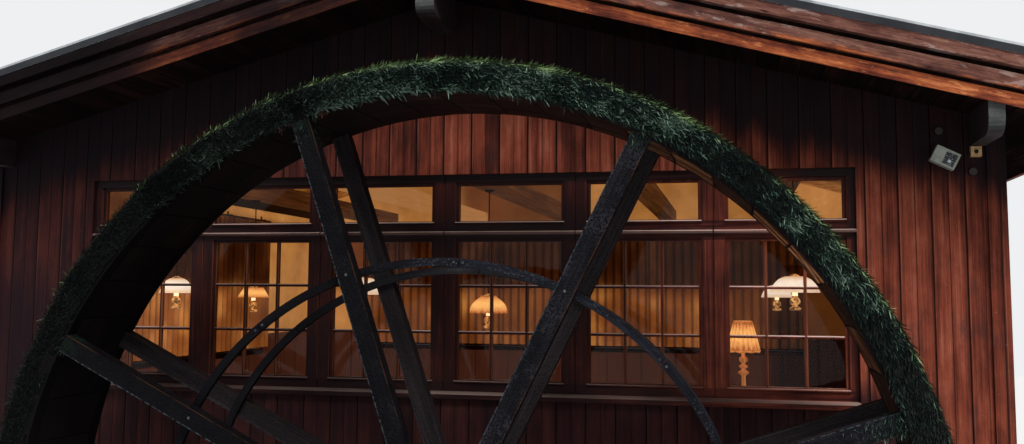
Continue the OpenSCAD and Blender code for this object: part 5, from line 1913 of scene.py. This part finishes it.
def moss_bed():
    """The wet mat under the strands: a closed ring over the front face and the outer face of the rim."""
    inner, back = SHROUD_IN + 0.02, RIM_FRONT + 0.006
    radii = spaced(inner, MOSS_OUT - 0.03, 8)
    rows = []
    for s in range(BED_STEPS):
        angle = math.tau * s / BED_STEPS
        row = []
        for radius in radii:
            place = on_rim(radius, angle, RIM_FRONT)
            cover = growth(place)[0]
            thick = -0.003
            if cover > 0.08:
                thick = max(0.001, 0.003 + 0.022 * min(1.0, cover) + 0.006 * noise.noise(place * 31))
            row.append(on_rim(radius, angle, RIM_FRONT - thick))
        for y in (RIM_FRONT, RIM_FRONT + 0.08, RIM_FRONT + 0.16, MOSS_BACK - 0.01):
            place = on_rim(RIM_OUT, angle, y)
            thick = 0.009 + 0.008 * min(1.0, growth(place)[0]) + 0.005 * noise.noise(place * 31)
            row.append(on_rim(RIM_OUT + thick, angle, y))
        row += [on_rim(RIM_OUT + 0.001, angle, MOSS_BACK), on_rim(RIM_OUT + 0.001, angle, back),
                on_rim(inner, angle, back)]
        rows.append(row + row[:1])

    def close(bm):
        bmesh.ops.remove_doubles(bm, verts=bm.verts, dist=1e-6)
        bmesh.ops.recalc_face_normals(bm, faces=bm.faces)

    return dress(reworked(grown_surface("moss_bed", rows, FORWARD, growth, closed=True), close), "moss_bed")


def arm_growth(reach, strength):
    """Moss that creeps from the rim down an arm."""
    def grows(place):
        radius = math.hypot(place.x - HUB.x, place.z - HUB.z)
        patch = noise.fractal(place * 6, 1.0, 2.0, 3)
        cover = smooth(radius, SHROUD_IN - reach, SHROUD_IN) * strength + 0.35 * patch - 0.15
        return cover, 0.22 + 0.5 * noise.noise(place * 4)
    return grows


def arm_surfaces():
    """The front face and the upper side of each arm, where moss hangs over its end."""
    surfaces = []
    for k in range(ARM_COUNT):
        angle = ARM_TURN + k * ARM_STEP
        reach, strength = ARM_MOSS.get(k, (0.16, 0.8))
        along = Vector((math.sin(angle), 0, math.cos(angle)))
        across = Vector((math.cos(angle), 0, -math.sin(angle)))
        upper = across if across.z > 0 else -across
        radii = [SHROUD_IN - reach + (reach + 0.02) * i / 8 for i in range(9)]

        def surface(parts, depth, step):
            """Rows across the arm, from a place on its front at each radius."""
            return [[Vector((HUB.x, RIM_FRONT + depth * j / parts, HUB.z)) + along * r + step(j)
                     for j in range(parts + 1)] for r in radii]

        face = surface(4, 0.0, lambda j: across * (ARM_W * (j / 4 - 0.5)))
        side = surface(3, SHROUD_T, lambda j: upper * (ARM_W / 2))
        grows = arm_growth(reach, strength)
        surfaces.append(grown_surface("arm_face", face, FORWARD, grows))
        surfaces.append(grown_surface("arm_side", side, upper, grows))
    return joined("arm_surfaces", surfaces)


def dry_surfaces():
    """Where dead brown strands hang from the rim's inner edge."""
    def grows(place):
        return 1.0, 0.5 + 0.5 * noise.noise(place * 9)

    surfaces = []
    for first, last in DRY_TUFTS:
        angles = [math.radians(turned) for turned in spaced(first, last, 6)]
        rows = [[on_rim(SHROUD_IN + dr, a, RIM_FRONT - 0.004) for dr in (0.0, 0.03, 0.06)] for a in angles]
        surfaces.append(grown_surface("dry", rows, FORWARD, grows))
    return joined("dry_surfaces", surfaces)


def make_moss():
    """The mat on the rim, and strands that grow on its faces, on the arms and at the dry places."""
    add_piece("moss_bed", moss_bed(), "wheel", "moss", ("rim_moss",))
    angles = [math.tau * s / 480 for s in range(480)]
    inner, proud = SHROUD_IN + 0.012, MOSS_FRONT + 0.016
    edge = MOSS_OUT - 0.014

    def surface(name, outward, places):
        """A closed surface through the places, given as (radius, Y), at every angle."""
        rows = [[on_rim(radius, angle, y) for radius, y in places] for angle in angles]
        return grown_surface(name, rows, outward, growth, closed=True)

    front = surface("front", FORWARD, [(radius, proud) for radius in spaced(inner, MOSS_OUT - 0.02, 8)])
    outer = surface("outer", Vector((0, 0, 1)), [(edge, y) for y in np.linspace(proud, MOSS_BACK - 0.01, 5)])
    back = surface("back", -FORWARD, [(radius, MOSS_BACK - 0.005) for radius in (RIM_OUT + 0.002, edge)])
    fine = blade_object("fine_blade", 0.046, 0.0056, 0.22)
    coarse = blade_object("coarse_blade", 0.068, 0.0070, 0.34)
    for name, base, blade, density, lean, comb, stray, drape, seed in (
            ("front_strands", front, fine, 18500, 0.13, 0.95, 0.66, (0, 0, -0.28), 11),
            ("front_tufts", front, coarse, 9000, 0.24, 0.75, 0.80, (0, 0, -0.34), 12),
            ("outer_strands", outer, fine, 11500, 0.15, 1.00, 0.62, (0, -0.12, -0.06), 13),
            ("back_strands", back, fine, 9000, 0.30, 0.80, 0.60, (0, 0, -0.30), 14),
            ("arm_strands", arm_surfaces(), fine, 12000, 0.30, 0.15, 0.60, (0, 0, -0.80), 15),
            ("dry_strands", dry_surfaces(), fine, 9000, 0.25, 0.30, 0.65, (0, 0, -0.70), 16)):
        finish = "dry_strands" if name == "dry_strands" else "strands"
        mesh = STRANDS.run(name, base, finish, Blade=blade, Density=float(density), Lean=lean, Comb=comb,
                           Stray=stray, Least=0.45, Most=1.25, Drape=drape, Seed=seed)
        add_piece(name, mesh, "wheel", "moss")
    for blade in (fine, coarse):
        bpy.data.objects.remove(blade)


def paint_nodes():
    """Gives the CAD nodes that stay their finishes."""
    for finish, nodes in NODE_FINISHES.items():
        for node in nodes.split():
            dress(frame["nodes"][node].data, finish)


# Camera, lights and floor


def make_camera():
    """The photo's camera, with the fitted focal length and middle."""
    data = bpy.data.cameras.new("camera")
    data.sensor_width = 36
    data.lens = FOCAL_PX / FRAME_W * data.sensor_width
    data.shift_x = (FRAME_W / 2 - CENTRE_PX[0]) / FRAME_W
    data.shift_y = (CENTRE_PX[1] - FRAME_H / 2) / FRAME_W
    data.clip_start, data.clip_end = 0.1, 200
    camera = scene_object("camera", data)
    turn = Matrix((CAMERA_RIGHT, CAMERA_UP, -Vector(CAMERA_AHEAD))).transposed()
    camera.matrix_world = Matrix.Translation(CAMERA_AT) @ turn.to_4x4()
    bpy.context.scene.camera = camera


def make_stage():
    """A pale floor, soft light from all round, a pale backdrop and one broad sun."""
    corners = [(x * FLOOR_REACH, y * FLOOR_REACH, 0) for x, y in ((-1, -1), (1, -1), (1, 1), (-1, 1))]
    floor = scene_object("floor", mesh_from("floor", corners, [(0, 1, 2, 3)]))
    floor.data.materials.append(Finish("floor_pale", Roughness=0.9).paint((0.62, 0.63, 0.64, 1)))
    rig.stage(floor)
    world = bpy.data.worlds.new("studio")
    bpy.context.scene.world = world
    world.use_nodes = True
    sky = Nodes(world.node_tree)
    background = world.node_tree.nodes["Background"]
    background.inputs["Color"].default_value = (1.0, 0.99, 0.97, 1)
    background.inputs["Strength"].default_value = 0.42
    backdrop = sky.node("ShaderNodeBackground", sockets={"Color": (0.86, 0.87, 0.88, 1), "Strength": 1.0})
    rays = world.node_tree.nodes.new("ShaderNodeLightPath").outputs
    seen, glossy, through = (Value(sky, rays["Is %s Ray" % kind]) for kind in RAY_KINDS)
    shown = sky.math("ADD", seen + glossy, through, clamp=True)
    light = Value(sky, background.outputs[0])
    both = sky.node("ShaderNodeMixShader", sockets={0: shown, 1: light, 2: backdrop})
    sky.feed(world.node_tree.nodes["World Output"].inputs["Surface"], both)
    lamp = bpy.data.lights.new("key", "SUN")
    lamp.energy = 4.0
    lamp.angle = math.radians(28)
    lamp.color = (1.0, 0.98, 0.95)
    key = scene_object("key", lamp)
    key.rotation_mode = "QUATERNION"
    key.rotation_quaternion = Vector((-0.40, 0.62, -0.96)).to_track_quat("-Z", "Y")
    bpy.context.scene.view_settings.view_transform = "Standard"


make_camera()
paint_nodes()
make_walls()
make_bars()
make_masonry()
make_pier()
make_door()
make_bearing_bolts()
make_roof()
make_curtains()
make_lamps()
make_sole()
make_rings()
make_bolts()
make_moss()
make_stage()

new_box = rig.bounds()
with open("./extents.json", "w") as file:
    json.dump({"cad": [list(c) for c in cad_box], "visual": [list(c) for c in new_box]}, file)
